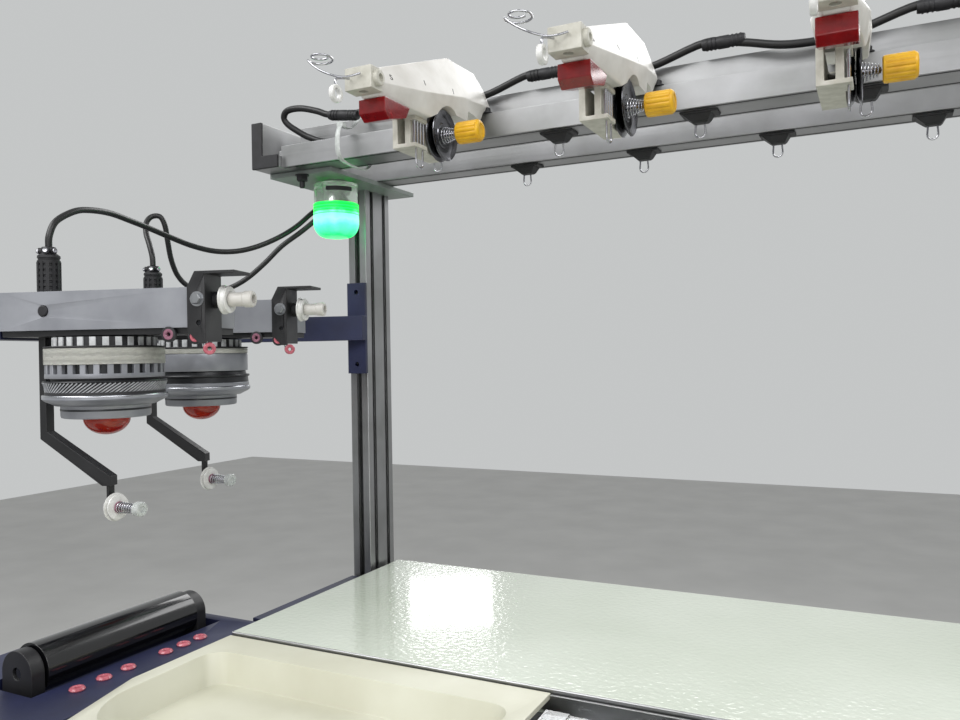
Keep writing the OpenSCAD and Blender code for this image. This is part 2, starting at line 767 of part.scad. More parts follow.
module signal_lamp_lens() color("limegreen") translate([lamp_x, lamp_y, rail_z - cap_plate_t - 32]) mirror([0, 0, 1])
    rotate_extrude() difference() {
        square([lamp_d / 2, 44]);
        corner_cut([lamp_d / 2, 44], 18, -1, -1);
        translate([-1, -1]) square([lamp_d / 2 - 2, 3]);
        translate([lamp_d / 2 - 1, 4]) square([2, 2]);
        translate([lamp_d / 2 - 1, 10]) square([2, 2]);
    }

// Storage feeders: the feeder frame is drawn from the first drum's axis.

module feeder_frame() translate([feeder_x, feeder_y, feeder_z]) rotate([0, 0, feeder_yaw]) children();
module each_feeder() for (i = [0, 1]) feeder_frame() translate([0, i * feeder_pitch, 0]) children();

arm_low = -8;
arm_plate_h = 128;
arm_plate_z = feeder_z + arm_low + arm_tube / 2 - arm_plate_h / 2;
module feeder_arm() color("midnightblue") {
    difference() {
        feeder_frame() {
            block([-feeder_back - arm_tube, -30, arm_low], [-feeder_back, corner_y, arm_low + arm_tube]);
            block([-feeder_back - 1, corner_y - arm_tube, arm_low], [200, corner_y, arm_low + arm_tube]);
        }
        block([-half_l - 200, post_y - 1, feeder_z - 40], [0, post_y + 200, feeder_z + 80]);
        block([-table_hl - 10 + 0.5, post_y - 120, feeder_z - 40], [0, post_y + 1, feeder_z + 80]);
    }
    difference() {
        block([-table_hl - 10 - post_w, post_y - 5, arm_plate_z], [-table_hl - 10, post_y, arm_plate_z + arm_plate_h]);
        for (z = [13, arm_plate_h - 13]) translate([-table_hl - 10 - post_w / 2, post_y + 1, arm_plate_z + z])
            rotate([90, 0, 0]) cylinder(d = 6.6, h = 10);
    }
}

module feeder_housings() color("gray") each_feeder() difference() {
    linear_extrude(feeder_h) difference() {
        translate([-feeder_back, -feeder_w / 2]) square([feeder_l, feeder_w]);
        polygon([[feeder_l - feeder_back - 10, -feeder_w / 2 - 1], [feeder_l - feeder_back + 1, -feeder_w / 2 - 1],
            [feeder_l - feeder_back + 1, -feeder_w / 2 + 12]]);
        corner_cut([feeder_l - feeder_back, feeder_w / 2], 12, -1, -1);
        corner_cut([-feeder_back, -feeder_w / 2], 6, 1, 1);
    }
    translate([-44, -feeder_w / 2 + 3, feeder_h / 2]) rotate([90, 0, 0]) cylinder(d = 12, h = 10);
    translate([-4, 0, feeder_h - 2]) cylinder(d = 46, h = 4);
}

boot_x = -64;
module feeder_plugs() color("black") each_feeder() {
    translate([boot_x, 0, feeder_h]) {
        cylinder(d = 20, h = 40);
        for (i = [0 : 5]) translate([0, 0, 2 + i * 6]) cylinder(d = 22, h = 4);
        translate([0, 0, 38]) cylinder(d1 = 22, d2 = 16, h = 4);
        translate([0, 0, 42]) cylinder(d = 14, h = 8);
    }
    translate([-4, 0, feeder_h - 2]) cylinder(d = 45, h = 4);
    translate([-44, -feeder_w / 2 + 3 - seat, feeder_h / 2]) rotate([90, 0, 0]) cylinder(d = 11, h = 4);
}

plate_h = 6;
spindle_r = 6;
hook_x = feeder_l - feeder_back;
hook_y = -feeder_w / 2 - seat;

// Folded plate at the housing's right end: a pointed front leaf, an end leaf and a bent top.
module hook_bracket() {
    difference() {
        along_y(hook_y - sheet_t, hook_y) polygon([
            [hook_x - 16, -4], [hook_x - 16, feeder_h], [hook_x - 8, feeder_h + 15], [hook_x + 34, feeder_h + 15],
            [hook_x + 34, feeder_h + 12], [hook_x + 3, feeder_h + 12], [hook_x + 3, -16], [hook_x - 4, -16]
        ]);
        translate([hook_x - 4, hook_y + 1, 4]) rotate([90, 0, 0]) cylinder(d = 5, h = sheet_t + 2);
    }
    block([hook_x, hook_y - 1, -14], [hook_x + 3, -feeder_w / 2 + 30, feeder_h + 15]);
    block([hook_x - 8, hook_y - 1, feeder_h + 12], [hook_x + 34, -feeder_w / 2 + 30, feeder_h + 15]);
    block([hook_x - 8, -feeder_w / 2 + 6, -14], [hook_x + 3, -feeder_w / 2 + 30, -plate_h]);
    translate([hook_x - 5, hook_y - sheet_t + 1, feeder_h - 12]) rotate([90, 0, 0]) cylinder(d = 10, h = 5, $fn = 6);
}
module feeder_brackets() color("black") each_feeder() {
    difference() {
        block([-feeder_back + 4, -feeder_w / 2 + 4, -plate_h], [hook_x - 4, feeder_w / 2 - 4, 0]);
        translate([0, 0, -plate_h - 1]) cylinder(r = 8, h = plate_h + 2);
    }
    translate([0, 0, -84]) cylinder(r = spindle_r, h = 84);
    hook_bracket();
    along_y(-8, -4 + 8) polygon([
        [-drum_d / 2 - 12, -plate_h], [-drum_d / 2 - 4, -plate_h], [-drum_d / 2 - 4, -104], [8, -150], [8, -160],
        [-2, -160], [-drum_d / 2 - 12, -112]
    ]);
    translate([set_x, -2, disc_z]) rotate([0, 0, -feeder_yaw]) block([-3, -4, -6], [0, 4, 26]);
}

set_x = 5;
disc_z = -182;
module feeder_discs() color("whitesmoke") each_feeder() {
    translate([set_x, -2, disc_z]) rotate([0, 0, -feeder_yaw]) rotate([0, 90, 0]) {
        translate([0, 0, seat]) cylinder(r = 3, h = 46);
        translate([0, 0, 4]) cylinder(d = 29, h = 3);
        translate([0, 0, 8]) cylinder(d = 26, h = 3);
        for (i = [0 : 5]) translate([0, 0, 13 + 4 * i]) ring(3 + seat + 0.7, 1.4);
        translate([0, 0, 38]) cylinder(d = 15, h = 9);
    }
    translate([hook_x + 3 + seat, -feeder_w / 2 + 18, feeder_h - 12]) rotate([0, 90, 0]) {
        cylinder(r = 4, h = 40);
        translate([0, 0, 6]) cylinder(d = 24, h = 4);
        translate([0, 0, 11]) cylinder(d = 26, h = 3);
        translate([0, 0, 32]) cylinder(d = 16, h = 8);
    }
}

dome_r = 23;
module feeder_lenses() color("red") each_feeder() translate([0, 0, drum_low - seat]) mirror([0, 0, 1])
    rotate_extrude() intersection() {
        translate([0, -4.6]) circle(dome_r);
        square([dome_r, dome_r]);
    }

// Layers of a drum from the top: a toothed ring, a thin disc, the yarn's seat, a castellated ring,
// a lip, a cone, a rim with a tapered foot and the lower ring.
drum_r = drum_d / 2;
drum_disc_z = -18;
drum_castle_z = -34.7;
drum_lip_z = -51;
drum_rim_z = -65;
drum_foot_z = -76;
drum_low = -89;
module drum(windows) {
    difference() {
        union() {
            translate([0, 0, drum_disc_z + 1]) cylinder(r = drum_r - 10, h = -drum_disc_z - plate_h - 2);
            translate([0, 0, drum_disc_z]) cylinder(r = drum_r - 2, h = 2);
            translate([0, 0, drum_lip_z - 1]) cylinder(r = drum_r - 6, h = drum_disc_z - drum_lip_z + 2);
            if (windows) translate([0, 0, drum_lip_z + 2.5])
                cylinder(r = drum_r - 3, h = drum_castle_z - drum_lip_z - 2.5);
            else translate([0, 0, drum_lip_z + 5]) cylinder(r = drum_r - 3, h = drum_disc_z - drum_lip_z - 11);
            translate([0, 0, drum_lip_z - 1.5]) cylinder(r = drum_r - 0.5, h = 1.5);
            translate([0, 0, drum_rim_z - 1]) rotate_extrude() polygon([
                [0, 0], [drum_r - 1, 0], [drum_r - 3.5, drum_lip_z - drum_rim_z], [0, drum_lip_z - drum_rim_z]
            ]);
            translate([0, 0, drum_foot_z]) rotate_extrude() polygon([
                [0, 0], [48, 0], [drum_r - 3, 4.5], [drum_r, 7],
                [drum_r, drum_rim_z - drum_foot_z], [0, drum_rim_z - drum_foot_z]
            ]);
            translate([0, 0, drum_low]) cylinder(r = 43, h = drum_foot_z - drum_low + 1);
        }
        translate([0, 0, drum_low - 1]) cylinder(r = spindle_r + run, h = 100);
        for (i = [0 : 23]) rotate([0, 0, 15 * i]) translate([drum_r - 14, -3.2, drum_disc_z + 2]) cube([10, 6.4, 8]);
        if (windows) for (i = [0 : 27]) rotate([0, 0, i * 360 / 28]) translate([drum_r - 8, -3.4, drum_castle_z - 9])
            cube([10, 6.8, 9.2]);
    }
}

module feeder_drum_1() color("darkgray") feeder_frame() drum(true);
module feeder_drum_2() color("darkgray") feeder_frame() translate([0, feeder_pitch, 0]) drum(false);

module yarn_winding() color("tan") feeder_frame() translate([0, 0, drum_castle_z + seat]) rotate_extrude()
    translate([drum_r - 6 + seat, 0]) square([4 - seat, drum_disc_z - drum_castle_z - 2 * seat]);

// Friction feed roller at the left

module roller_brackets() color("black") for (s = [-1, 1]) {
    y = roller_y + s * (roller_l / 2 + 2);
    difference() {
        along_y(min(y, y + s * 14), max(y, y + s * 14)) difference() {
            union() {
                translate([roller_x - 22, bay_z]) square([44, roller_z - bay_z]);
                translate([roller_x, roller_z]) circle(22);
            }
            translate([roller_x, roller_z]) circle(6 + run);
        }
    }
}

module feed_roller() color("black") translate([roller_x, roller_y, roller_z]) rotate([90, 0, 0]) {
    difference() {
        translate([0, 0, -roller_l / 2]) cylinder(d = roller_d, h = roller_l);
        for (s = [-1, 1]) translate([0, 0, s * roller_l / 2]) rotate_extrude() translate([14, 0]) circle(3, $fn = 24);
    }
    translate([0, 0, -roller_l / 2 - 14]) cylinder(r = 6, h = roller_l + 28);
}

module yarn_eyelets() color("hotpink") for (y = eyelet_y) translate([-half_l + eyelet_in, y, side_z]) rotate_extrude()
    difference() {
        union() {
            translate([0, 0]) square([7.5, 3]);
            translate([0, -6]) square([4.5, 7]);
        }
        translate([-1, -7]) square([3.5, 12]);
        corner_cut([7.5, 3], 2, -1, -1);
    }

// Knitting unit

throat_gap = 4;
// Point on a bed, measured down its slope and off its face.
function on_bed(s, n) = [-throat_y - throat_gap - (s + n) * sqrt(0.5), throat_z - (s - n) * sqrt(0.5)];

module bed(l) difference() {
    along_x(-l / 2, l / 2) polygon([on_bed(0, 0), on_bed(bed_w, 0), on_bed(bed_w, -bed_t), on_bed(bed_t, -bed_t)]);
    translate([0, -throat_y - throat_gap, throat_z]) rotate([45, 0, 0])
        for (y = [-bed_w + 30, -bed_w + 70, -90]) block([-l / 2 - 1, y, -2], [l / 2 + 1, y + 5, 1]);
}

comb_n = 88;
module comb(l) for (i = [0 : comb_n - 1]) translate([-l / 2 + (i + 0.5) * l / comb_n, -throat_y - throat_gap, throat_z])
    rotate([45, 0, 0]) block([-2, -26, -0.5], [2, -1, 2.4]);

module front_needle_bed() color("silver") {
    bed(bed_l);
    comb(bed_l);
}

module rear_needle_bed() color("silver") translate([0, -2 * throat_y, 0]) mirror([0, 1, 0]) translate([0, -seat, seat]) {
    bed(bed_l);
    comb(bed_l);
}

rest_x = -carriage_travel / 2;
bridge_z = throat_z + 96;
bridge_t = 26;
bridge_hw = 56;
carriage_half = [
    on_bed(84, 5), on_bed(212, 5), on_bed(212, 40), on_bed(110, 52), [-throat_y - bridge_hw - 28, bridge_z + 12],
    [-throat_y - bridge_hw - 4, bridge_z + bridge_t], [-throat_y + 0.01, bridge_z + bridge_t],
    [-throat_y + 0.01, bridge_z], [-throat_y - bridge_hw, bridge_z], [-throat_y - bridge_hw - 10, bridge_z - 16]
];
module carriage_side() {
    along_x(rest_x - carriage_l / 2, rest_x + carriage_l / 2) {
        polygon(carriage_half);
        difference() {
            union() {
                translate([-throat_y - guide_y, guide_z]) circle(26);
                translate([-throat_y - guide_y, guide_z - 12]) square([52, 40]);
                polygon([on_bed(212, 5), on_bed(212, 40), [-throat_y - guide_y + 4, guide_z + 26], [-throat_y - guide_y + 50, guide_z]]);
            }
            translate([-throat_y - guide_y, guide_z]) circle(d = guide_d + 2 * run);
        }
    }
}

module carriage() color("dimgray") {
    carriage_side();
    translate([0, -2 * throat_y, 0]) mirror([0, 1, 0]) carriage_side();
}

module carriage_rails() color("silver") for (s = [-1, 1]) translate([-plate_x, -throat_y + s * guide_y, guide_z])
    rotate([0, 90, 0]) cylinder(d = guide_d, h = 2 * plate_x);

module carrier_rails() color("silver") for (s = [-1, 1]) block(
    [-plate_x, -throat_y + s * carrier_bar_y - carrier_bar_t / 2, carrier_bar_z],
    [plate_x, -throat_y + s * carrier_bar_y + carrier_bar_t / 2, carrier_bar_z + carrier_bar_h]);

// Yarn carrier that rides on one rail and reaches down to the throat.
module yarn_carrier(s) {
    y = -throat_y + s * carrier_bar_y;
    difference() {
        block([-22, y - 9, carrier_bar_z - 8], [22, y + 9, carrier_bar_z + carrier_bar_h + 8]);
        block([-23, y - carrier_bar_t / 2 - seat, carrier_bar_z - seat],
            [23, y + carrier_bar_t / 2 + seat, carrier_bar_z + carrier_bar_h + seat]);
    }
    difference() {
        hull() {
            block([-7, y - s * 8 - 3, carrier_bar_z - 8], [7, y - s * 8 + 3, carrier_bar_z - 6]);
            block([-2.5, -throat_y + s * 2 - 1.5, throat_z + 12], [2.5, -throat_y + s * 2 + 1.5, throat_z + 13]);
        }
    }
}

module yarn_carrier_1() color("orange") translate([-480, 0, 0]) yarn_carrier(-1);
module yarn_carrier_2() color("orange") translate([-400, 0, 0]) yarn_carrier(1);

roller_hl = bed_l / 2 - 10;
module take_down_roller() color("dimgray") translate([0, -throat_y, take_z]) rotate([0, 90, 0]) {
    translate([0, 0, -roller_hl]) cylinder(r = take_r, h = 2 * roller_hl);
    translate([0, 0, -plate_x]) cylinder(r = take_journal, h = 2 * plate_x);
}

module pressure_roller() color("black") translate([0, -throat_y - press_dy, take_z]) rotate([0, 90, 0]) {
    translate([0, 0, -roller_hl]) cylinder(r = press_r, h = 2 * roller_hl);
    translate([0, 0, -plate_x]) cylinder(r = take_journal, h = 2 * plate_x);
}

// Sliding covers

cover_y = 60;
cover_z = 700;
cover_gap = 3;
cover_lap = 20;
cover_band = 22;
knob_edge = 45;
cover_foot = 3;
inner_r = cover_r - cover_t - cover_gap - 1.5;

// Angle at which an arc's inner edge stands just off the lower rail.
function foot_a(r) = asin((shelf_z + cover_foot + seat - cover_z) / r);

// Arc between two radii in Y and Z, from the shelf up to the table's edge.
module cover_arc(r0, r1) translate([cover_y, cover_z]) intersection() {
    difference() {
        circle(r1, $fn = 96);
        circle(r0, $fn = 96);
    }
    polygon([[0, 0], 600 * [-cos(foot_a(r0)), sin(foot_a(r0))], [-600, 600], [-14, 600]]);
}

module sliding_cover(x0, x1, r, knob_x) {
    along_x(x0, x1) cover_arc(r - cover_t, r);
    for (x = [x0, x1 - cover_band]) along_x(x, x + cover_band) cover_arc(r - cover_t, r + 1.5);
    a = 40;
    translate([knob_x, cover_y, cover_z]) rotate([90 - a, 0, 0]) translate([0, 0, r - 1]) {
        cylinder(d = 34, h = 7);
        cylinder(d = 26, h = 21);
    }
}

module sliding_cover_left() color("lightcyan", 0.5) sliding_cover(-head_x + 4, cover_lap, cover_r, cover_lap - knob_edge);
module sliding_cover_right() color("lightcyan", 0.5) sliding_cover(-cover_lap, head_x - 4, inner_r, head_x - knob_edge);

cover_top_z = cover_z + inner_r - cover_t - cover_foot - 2 * seat;
module cover_rails() color("silver") {
    along_x(-head_x + seat, head_x - seat) {
        translate([fair_y - 14, shelf_z]) square([38, cover_foot]);
        translate([fair_y - 14, shelf_z]) square([3, 12]);
        translate([cover_y - 16, cover_top_z]) square([26, cover_foot]);
        translate([cover_y + 7, cover_top_z]) square([3, table_z - 4 - cover_top_z]);
    }
}

// Side tension unit in the recess of the left cover

module side_tension_bracket() color("black") {
    y0 = recess_y0;
    y1 = recess_y1;
    block([-half_l + 8, y0, recess_z1 - 14], [-half_l + recess_d, y1, recess_z1]);
    for (y = [y0 + 2, y1 - 8]) difference() {
        block([arm_shaft_x - 9, y, arm_shaft_z - 9], [arm_shaft_x + 9, y + 6, recess_z1 - 14]);
        translate([arm_shaft_x, y + 7, arm_shaft_z]) rotate([90, 0, 0]) cylinder(r = 4 + run, h = 8);
    }
    for (i = [0 : 6]) rod([-half_l + recess_d - 8, y0 + 10 + i * 30, recess_z0], [-half_l + recess_d - 8, y0 + 10 + i * 30, recess_z1 - 13], 5);
}

module side_arms() color("gainsboro") {
    translate([arm_shaft_x, recess_y1 - 2, arm_shaft_z]) rotate([90, 0, 0]) cylinder(r = 4, h = recess_y1 - recess_y0 - 4);
    for (i = [0 : 5]) translate([arm_shaft_x, recess_y0 + 25 + i * 30, arm_shaft_z]) {
        rotate([90, 0, 0]) translate([0, 0, -4]) cylinder(r = 7, h = 8);
        rod([0, 0, -6], [0, 0, -112], 2.4);
        translate([0, 0, -117]) rotate([90, 0, 0]) ring(6, 3);
    }
}

// Belt drive behind the rear rail

belt_y = 175;
belt_z = 835;
pulley_r = 30;
belt_x = plate_x - plate_t - 60;
module belt_drive() color("black") {
    translate([0, belt_y, belt_z]) linear_extrude(25) difference() {
        union() {
            square([2 * belt_x, 2 * pulley_r + 5], center = true);
            for (s = [-1, 1]) translate([s * belt_x, 0]) circle(pulley_r + 2.5);
        }
        square([2 * belt_x, 2 * pulley_r], center = true);
        for (s = [-1, 1]) translate([s * belt_x, 0]) circle(pulley_r);
    }
    for (s = [-1, 1]) translate([s * belt_x, belt_y, belt_z - 6]) {
        cylinder(r = pulley_r - seat, h = 35);
        translate([0, 0, -60]) cylinder(r = 10, h = 100);
    }
    translate([-belt_x, belt_y, belt_z - 176]) linear_extrude(110) round_rect(-42, -42, 42, 42, 8);
    for (s = [-1, 1]) block([min(s * belt_x, s * (plate_x - plate_t)) - (s > 0 ? 20 : 0), belt_y - 42, belt_z - 66],
        [max(s * belt_x, s * (plate_x - plate_t)) + (s < 0 ? 20 : 0), belt_y + 42, belt_z - 56]);
}

// Leads

// Tube swept along a list of points with a given number of sides.
function unit(v) = v / max(norm(v), 1e-6);
function bezier(p, i, t) = let (
    a = p[max(i - 1, 0)], b = p[i], c = p[i + 1], d = p[min(i + 2, len(p) - 1)]
) 0.5 * (2 * b + (c - a) * t + (2 * a - 5 * b + 4 * c - d) * t * t + (3 * b - 3 * c + d - a) * t * t * t);
function smooth(p, n) = [for (i = [0 : len(p) - 2], k = [0 : n - 1]) bezier(p, i, k / n), p[len(p) - 1]];
module lead(points, d, sides) {
    n = len(points);
    tangents = [for (i = [0 : n - 1]) unit(points[min(i + 1, n - 1)] - points[max(i - 1, 0)])];
    rings = [for (i = [0 : n - 1]) let (
        t = tangents[i],
        u = unit(cross(t, abs(t.z) > 0.9 ? [1, 0.2, 0] : [0, 0, 1])),
        w = cross(t, u)
    ) for (k = [0 : sides - 1]) points[i] + d / 2 * (cos(k * 360 / sides) * u + sin(k * 360 / sides) * w)];
    faces = concat(
        [[for (k = [0 : sides - 1]) k]],
        [for (i = [0 : n - 2], k = [0 : sides - 1]) [
            i * sides + k, (i + 1) * sides + k, (i + 1) * sides + (k + 1) % sides, i * sides + (k + 1) % sides
        ]],
        [[for (k = [sides - 1 : -1 : 0]) (n - 1) * sides + k]]
    );
    polyhedron(rings, faces, convexity = 10);
}

// Points of the feeders' leads and of the tensioners' lead, from the middle of the whole machine.
cable_1 = [
    [-1160, -38, 1620], [-1160, -37, 1632], [-1161, -28, 1648], [-1164, -4, 1662], [-1169, 20, 1667.5],
    [-1179, 55, 1670], [-1187, 90, 1667], [-1189, 120, 1662], [-1185, 150, 1654], [-1178, 180, 1646],
    [-1167, 208, 1641.5], [-1152, 232, 1643], [-1137, 256, 1651], [-1120, 280, 1665], [-1108, 303, 1682],
    [-1096, 322, 1702], [-1084, 340, 1719], [-1081, 345, 1729], [-1081, 345, 1734.7]
];
cable_2 = [
    [-1214.5, 147.5, 1620], [-1216, 148, 1632], [-1223, 150, 1648], [-1234, 155, 1664], [-1241, 162, 1679],
    [-1240, 170, 1688], [-1232, 177, 1688], [-1229, 182, 1676], [-1230, 187, 1656], [-1232, 194, 1634],
    [-1231, 203, 1614], [-1225, 214, 1600], [-1215, 228, 1593], [-1202, 243, 1592], [-1186, 257, 1598],
    [-1167, 269, 1611], [-1146, 280, 1631], [-1127, 294, 1655], [-1104, 310, 1676], [-1086, 326, 1697],
    [-1074, 340, 1715], [-1072, 345, 1728], [-1072, 345, 1734.7]
];
feeder_cable_d = 7;
tensioner_cable_d = 8;

module feeder_cable_1() color("black") translate([-shift_x, 0, 0]) lead(smooth(cable_1, 2), feeder_cable_d, 8);
module feeder_cable_2() color("black") translate([-shift_x, 0, 0]) lead(smooth(cable_2, 2), feeder_cable_d, 8);

// The tensioners' lead lies in the rail's channel and rises behind each tensioner.
lead_points = concat(
    [
        [-905, 238, 1759], [-905, 238, 1766], [-915, 237, 1769], [-955, 235, 1769], [-1000, 234, 1770],
        [-1026, 231, 1778], [-1043, 226, 1788], [-1054, 221, 1797], [-1056, 217, 1805], [-1047, 214, 1811],
        [-1025, 212, 1810], [-1000, 212, 1803], [-985, 213, 1797], [-962, 214, 1793], [-935, 219, 1795],
        [-900, 229, 1799], [-870, 238, 1800], [-840, 243, 1799]
    ],
    [for (i = [0 : 8]) let (x = -787 + 192 * i) each [
        [x, 244, 1798], [x + 60, 240, 1812], [x + 96, 240, 1806], [x + 140, 240, 1796]
    ]],
    [[980, 240, 1770], [992, 240, 1766], [992, 240, 1759]]
);
module tensioner_cable() color("black") translate([-shift_x, 0, 0]) lead(lead_points, tensioner_cable_d, 8);

placed() base_frame();
placed() levelling_feet();
placed() end_cabinets();
placed() rear_panel();
placed() left_side_cover();
placed() right_side_cover();
placed() head_housing();
placed() right_housing();
placed() front_fairing();
placed() screen_bezel();
placed() screen();
placed() yarn_table();
placed() table_strip();
placed() posts();
placed() post_plates();
placed() cross_members();
placed() front_rail();
placed() rear_rail();
placed() end_caps();
placed() loop_clips();
placed() tensioner_housings();
placed() tensioner_lamps();
placed() tensioner_brackets();
placed() tensioner_discs();
placed() tensioner_knobs();
placed() tensioner_wires();
placed() signal_lamp_body();
placed() signal_lamp_lens();
placed() feeder_arm();
placed() feeder_housings();
placed() feeder_plugs();
placed() feeder_brackets();
placed() feeder_discs();
placed() feeder_lenses();
placed() feeder_drum_1();
placed() feeder_drum_2();
placed() yarn_winding();
placed() roller_brackets();
placed() feed_roller();
placed() yarn_eyelets();
placed() front_needle_bed();
placed() rear_needle_bed();
placed() carriage();
placed() carriage_rails();
placed() yarn_carrier_1();
placed() yarn_carrier_2();
placed() carrier_rails();
placed() take_down_roller();
placed() pressure_roller();
placed() sliding_cover_left();
placed() sliding_cover_right();
placed() cover_rails();
placed() start_bar();
placed() emergency_stop();
placed() side_tension_bracket();
placed() side_arms();
placed() belt_drive();
placed() feeder_cable_1();
placed() feeder_cable_2();
placed() tensioner_cable();
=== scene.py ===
# %% [markdown]
# # A flat knitting machine, dressed in Blender
# The solids of the machine come from CAD, at their real size. This lesson dresses them: it puts the
# camera where the photograph was taken, gives each finish its own material, and adds the small pieces
# that CAD leaves plain, such as bristles, springs, digits and screws.

import json
import math
import bpy
import bmesh
from mathutils import Matrix, Vector
from mathutils.bvhtree import BVHTree

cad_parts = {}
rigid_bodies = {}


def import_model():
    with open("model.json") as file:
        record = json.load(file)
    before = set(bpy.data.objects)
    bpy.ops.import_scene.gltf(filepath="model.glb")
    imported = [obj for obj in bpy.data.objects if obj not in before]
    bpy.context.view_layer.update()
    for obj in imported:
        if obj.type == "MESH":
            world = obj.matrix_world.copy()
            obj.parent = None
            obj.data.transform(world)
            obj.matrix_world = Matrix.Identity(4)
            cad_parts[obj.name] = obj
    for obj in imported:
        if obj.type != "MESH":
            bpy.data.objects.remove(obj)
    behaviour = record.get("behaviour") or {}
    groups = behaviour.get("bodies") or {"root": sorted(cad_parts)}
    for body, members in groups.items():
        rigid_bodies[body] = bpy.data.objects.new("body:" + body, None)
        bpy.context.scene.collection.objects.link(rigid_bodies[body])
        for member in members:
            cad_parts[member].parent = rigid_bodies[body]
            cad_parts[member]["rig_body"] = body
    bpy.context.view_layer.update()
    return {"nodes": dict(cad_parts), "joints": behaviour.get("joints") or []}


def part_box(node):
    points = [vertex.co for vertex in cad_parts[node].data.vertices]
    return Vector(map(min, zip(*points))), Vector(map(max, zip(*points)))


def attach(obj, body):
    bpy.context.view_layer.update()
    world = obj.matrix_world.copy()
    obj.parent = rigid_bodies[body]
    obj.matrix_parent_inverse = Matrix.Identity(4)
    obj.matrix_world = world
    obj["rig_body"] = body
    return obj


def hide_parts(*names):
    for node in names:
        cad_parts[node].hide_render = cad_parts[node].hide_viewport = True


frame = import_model()
nodes = frame["nodes"]


# %% Turning, placing and linking
def turned(degrees, axis):
    """A turn about an axis."""
    return Matrix.Rotation(math.radians(degrees), 4, axis)


def at(x, y, z):
    """A shift to a place."""
    return Matrix.Translation((x, y, z))


def linked(name, data):
    """A new object that is in the scene."""
    made = bpy.data.objects.new(name, data)
    bpy.context.scene.collection.objects.link(made)
    return made


# %% [markdown]
# ## The camera
# The photograph was taken from the machine's front, a little above the yarn table, with a wide lens.
# Its vanishing points give the turn and the tilt, and known sizes give the place.

# %% The camera at the photograph's place
camera_place = (-0.375, -0.610, 1.500)
heading, tilt, roll = 26.3, 89.6, -0.88
camera = linked("camera", bpy.data.cameras.new("camera"))
camera.data.sensor_width = 36
camera.data.lens = 30.75
camera.data.clip_start = 0.02
turn = turned(heading, "Z") @ turned(tilt, "X")
camera.matrix_world = at(*camera_place) @ turn @ turned(roll, "Z")
bpy.context.scene.camera = camera
print("camera looks along", [round(v, 3) for v in -camera.matrix_world.col[2].xyz])

# %% [markdown]
# ## Colours and node helpers
# Colours are written as on screen, in hex, and one function turns them to the linear values that the
# shaders work in. A second small function adds any node with its settings and its links, so each
# finish below reads as a short list of what its surface is made of.


# %% Colour and node helpers
def colour(text):
    """The linear colour of a hex value as seen on screen."""
    parts = [int(text[i : i + 2], 16) / 255 for i in (1, 3, 5)]
    return tuple(c / 12.92 if c <= 0.04045 else ((c + 0.055) / 1.055) ** 2.4 for c in parts) + (1.0,)


def add(tree, kind, settings=None, **links):
    """A node with its settings, linked from the given outputs. An input without a name is i0, i1 or i2."""
    new = tree.nodes.new(kind)
    for name, value in (settings or {}).items():
        if hasattr(new, name):
            setattr(new, name, value)
        else:
            new.inputs[name].default_value = value
    for name, source in links.items():
        label = name.replace("_", " ")
        tree.links.new(source, new.inputs[label if label in new.inputs else int(name[1:])])
    return new


# %% [markdown]
# A real surface is never one flat value. Each finish below has up to three patterns: a tint that
# drifts between two colours, a gloss that drifts between two roughness values, and a fine relief. A
# pattern starts with the size of its lumps in millimetres and its detail. A moulding's skin and a
# coat's grain are finer than a pixel here, so they are drawn about twice as coarse as they are.


# %% A finish and its three patterns
class Finish:
    """A material with one Principled shader, the object's own coordinates and a chain of relief."""

    def __init__(self, name, base, roughness, tint=None, gloss=None, relief=None, **sockets):
        self.material = bpy.data.materials.new(name)
        self.material.use_nodes = True
        self.tree = self.material.node_tree
        self.shader = self.tree.nodes["Principled BSDF"]
        self.shader.inputs["Base Color"].default_value = colour(base)
        self.shader.inputs["Roughness"].default_value = roughness
        for socket, value in sockets.items():
            self.shader.inputs[socket.replace("_", " ")].default_value = value
        self.place = add(self.tree, "ShaderNodeTexCoord").outputs["Object"]
        self.normal = None
        for pattern, given in ((self.tint, tint), (self.gloss, gloss), (self.relief, relief)):
            if given:
                pattern(self.noise(*given[:2]), *given[2:])

    def stretched(self, x, y, z):
        """Coordinates in which a pattern is drawn out along the axes with small numbers."""
        return add(self.tree, "ShaderNodeMapping", {"Scale": (x, y, z)}, Vector=self.place).outputs["Vector"]

    def noise(self, size_mm, detail, place=None):
        """Noise whose lumps are about size_mm across."""
        settings = {"Scale": 1000.0 / size_mm, "Detail": detail}
        return add(self.tree, "ShaderNodeTexNoise", settings, Vector=place or self.place).outputs["Fac"]

    def tint(self, factor, dark, light, low=0.3, high=0.7):
        """Base colour that goes from dark to light with the factor."""
        ramp = add(self.tree, "ShaderNodeValToRGB", Fac=factor)
        ramp.color_ramp.elements[0].position = low
        ramp.color_ramp.elements[0].color = colour(dark)
        ramp.color_ramp.elements[1].position = high
        ramp.color_ramp.elements[1].color = colour(light)
        self.tree.links.new(ramp.outputs["Color"], self.shader.inputs["Base Color"])

    def gloss(self, factor, low, high):
        """Roughness between two values."""
        spread = add(self.tree, "ShaderNodeMapRange", {"To Min": low, "To Max": high}, Value=factor)
        self.tree.links.new(spread.outputs["Result"], self.shader.inputs["Roughness"])

    def relief(self, height, depth_mm):
        """Bump of that depth, on top of what is there already."""
        bump = add(self.tree, "ShaderNodeBump", {"Strength": 1.0, "Distance": depth_mm / 1000}, Height=height)
        if self.normal is not None:
            self.tree.links.new(self.normal, bump.inputs["Normal"])
        self.normal = bump.outputs["Normal"]
        self.tree.links.new(self.normal, self.shader.inputs["Normal"])


# %% [markdown]
# ## Paints of the machine body
# The side covers and cabinets are sheet steel with a fine textured powder coat. The yarn table is
# glossy cream enamel whose surface is slightly wavy, like orange peel, which breaks up reflections.
# A colour for each alone would look like plastic, so the gloss carries the difference.

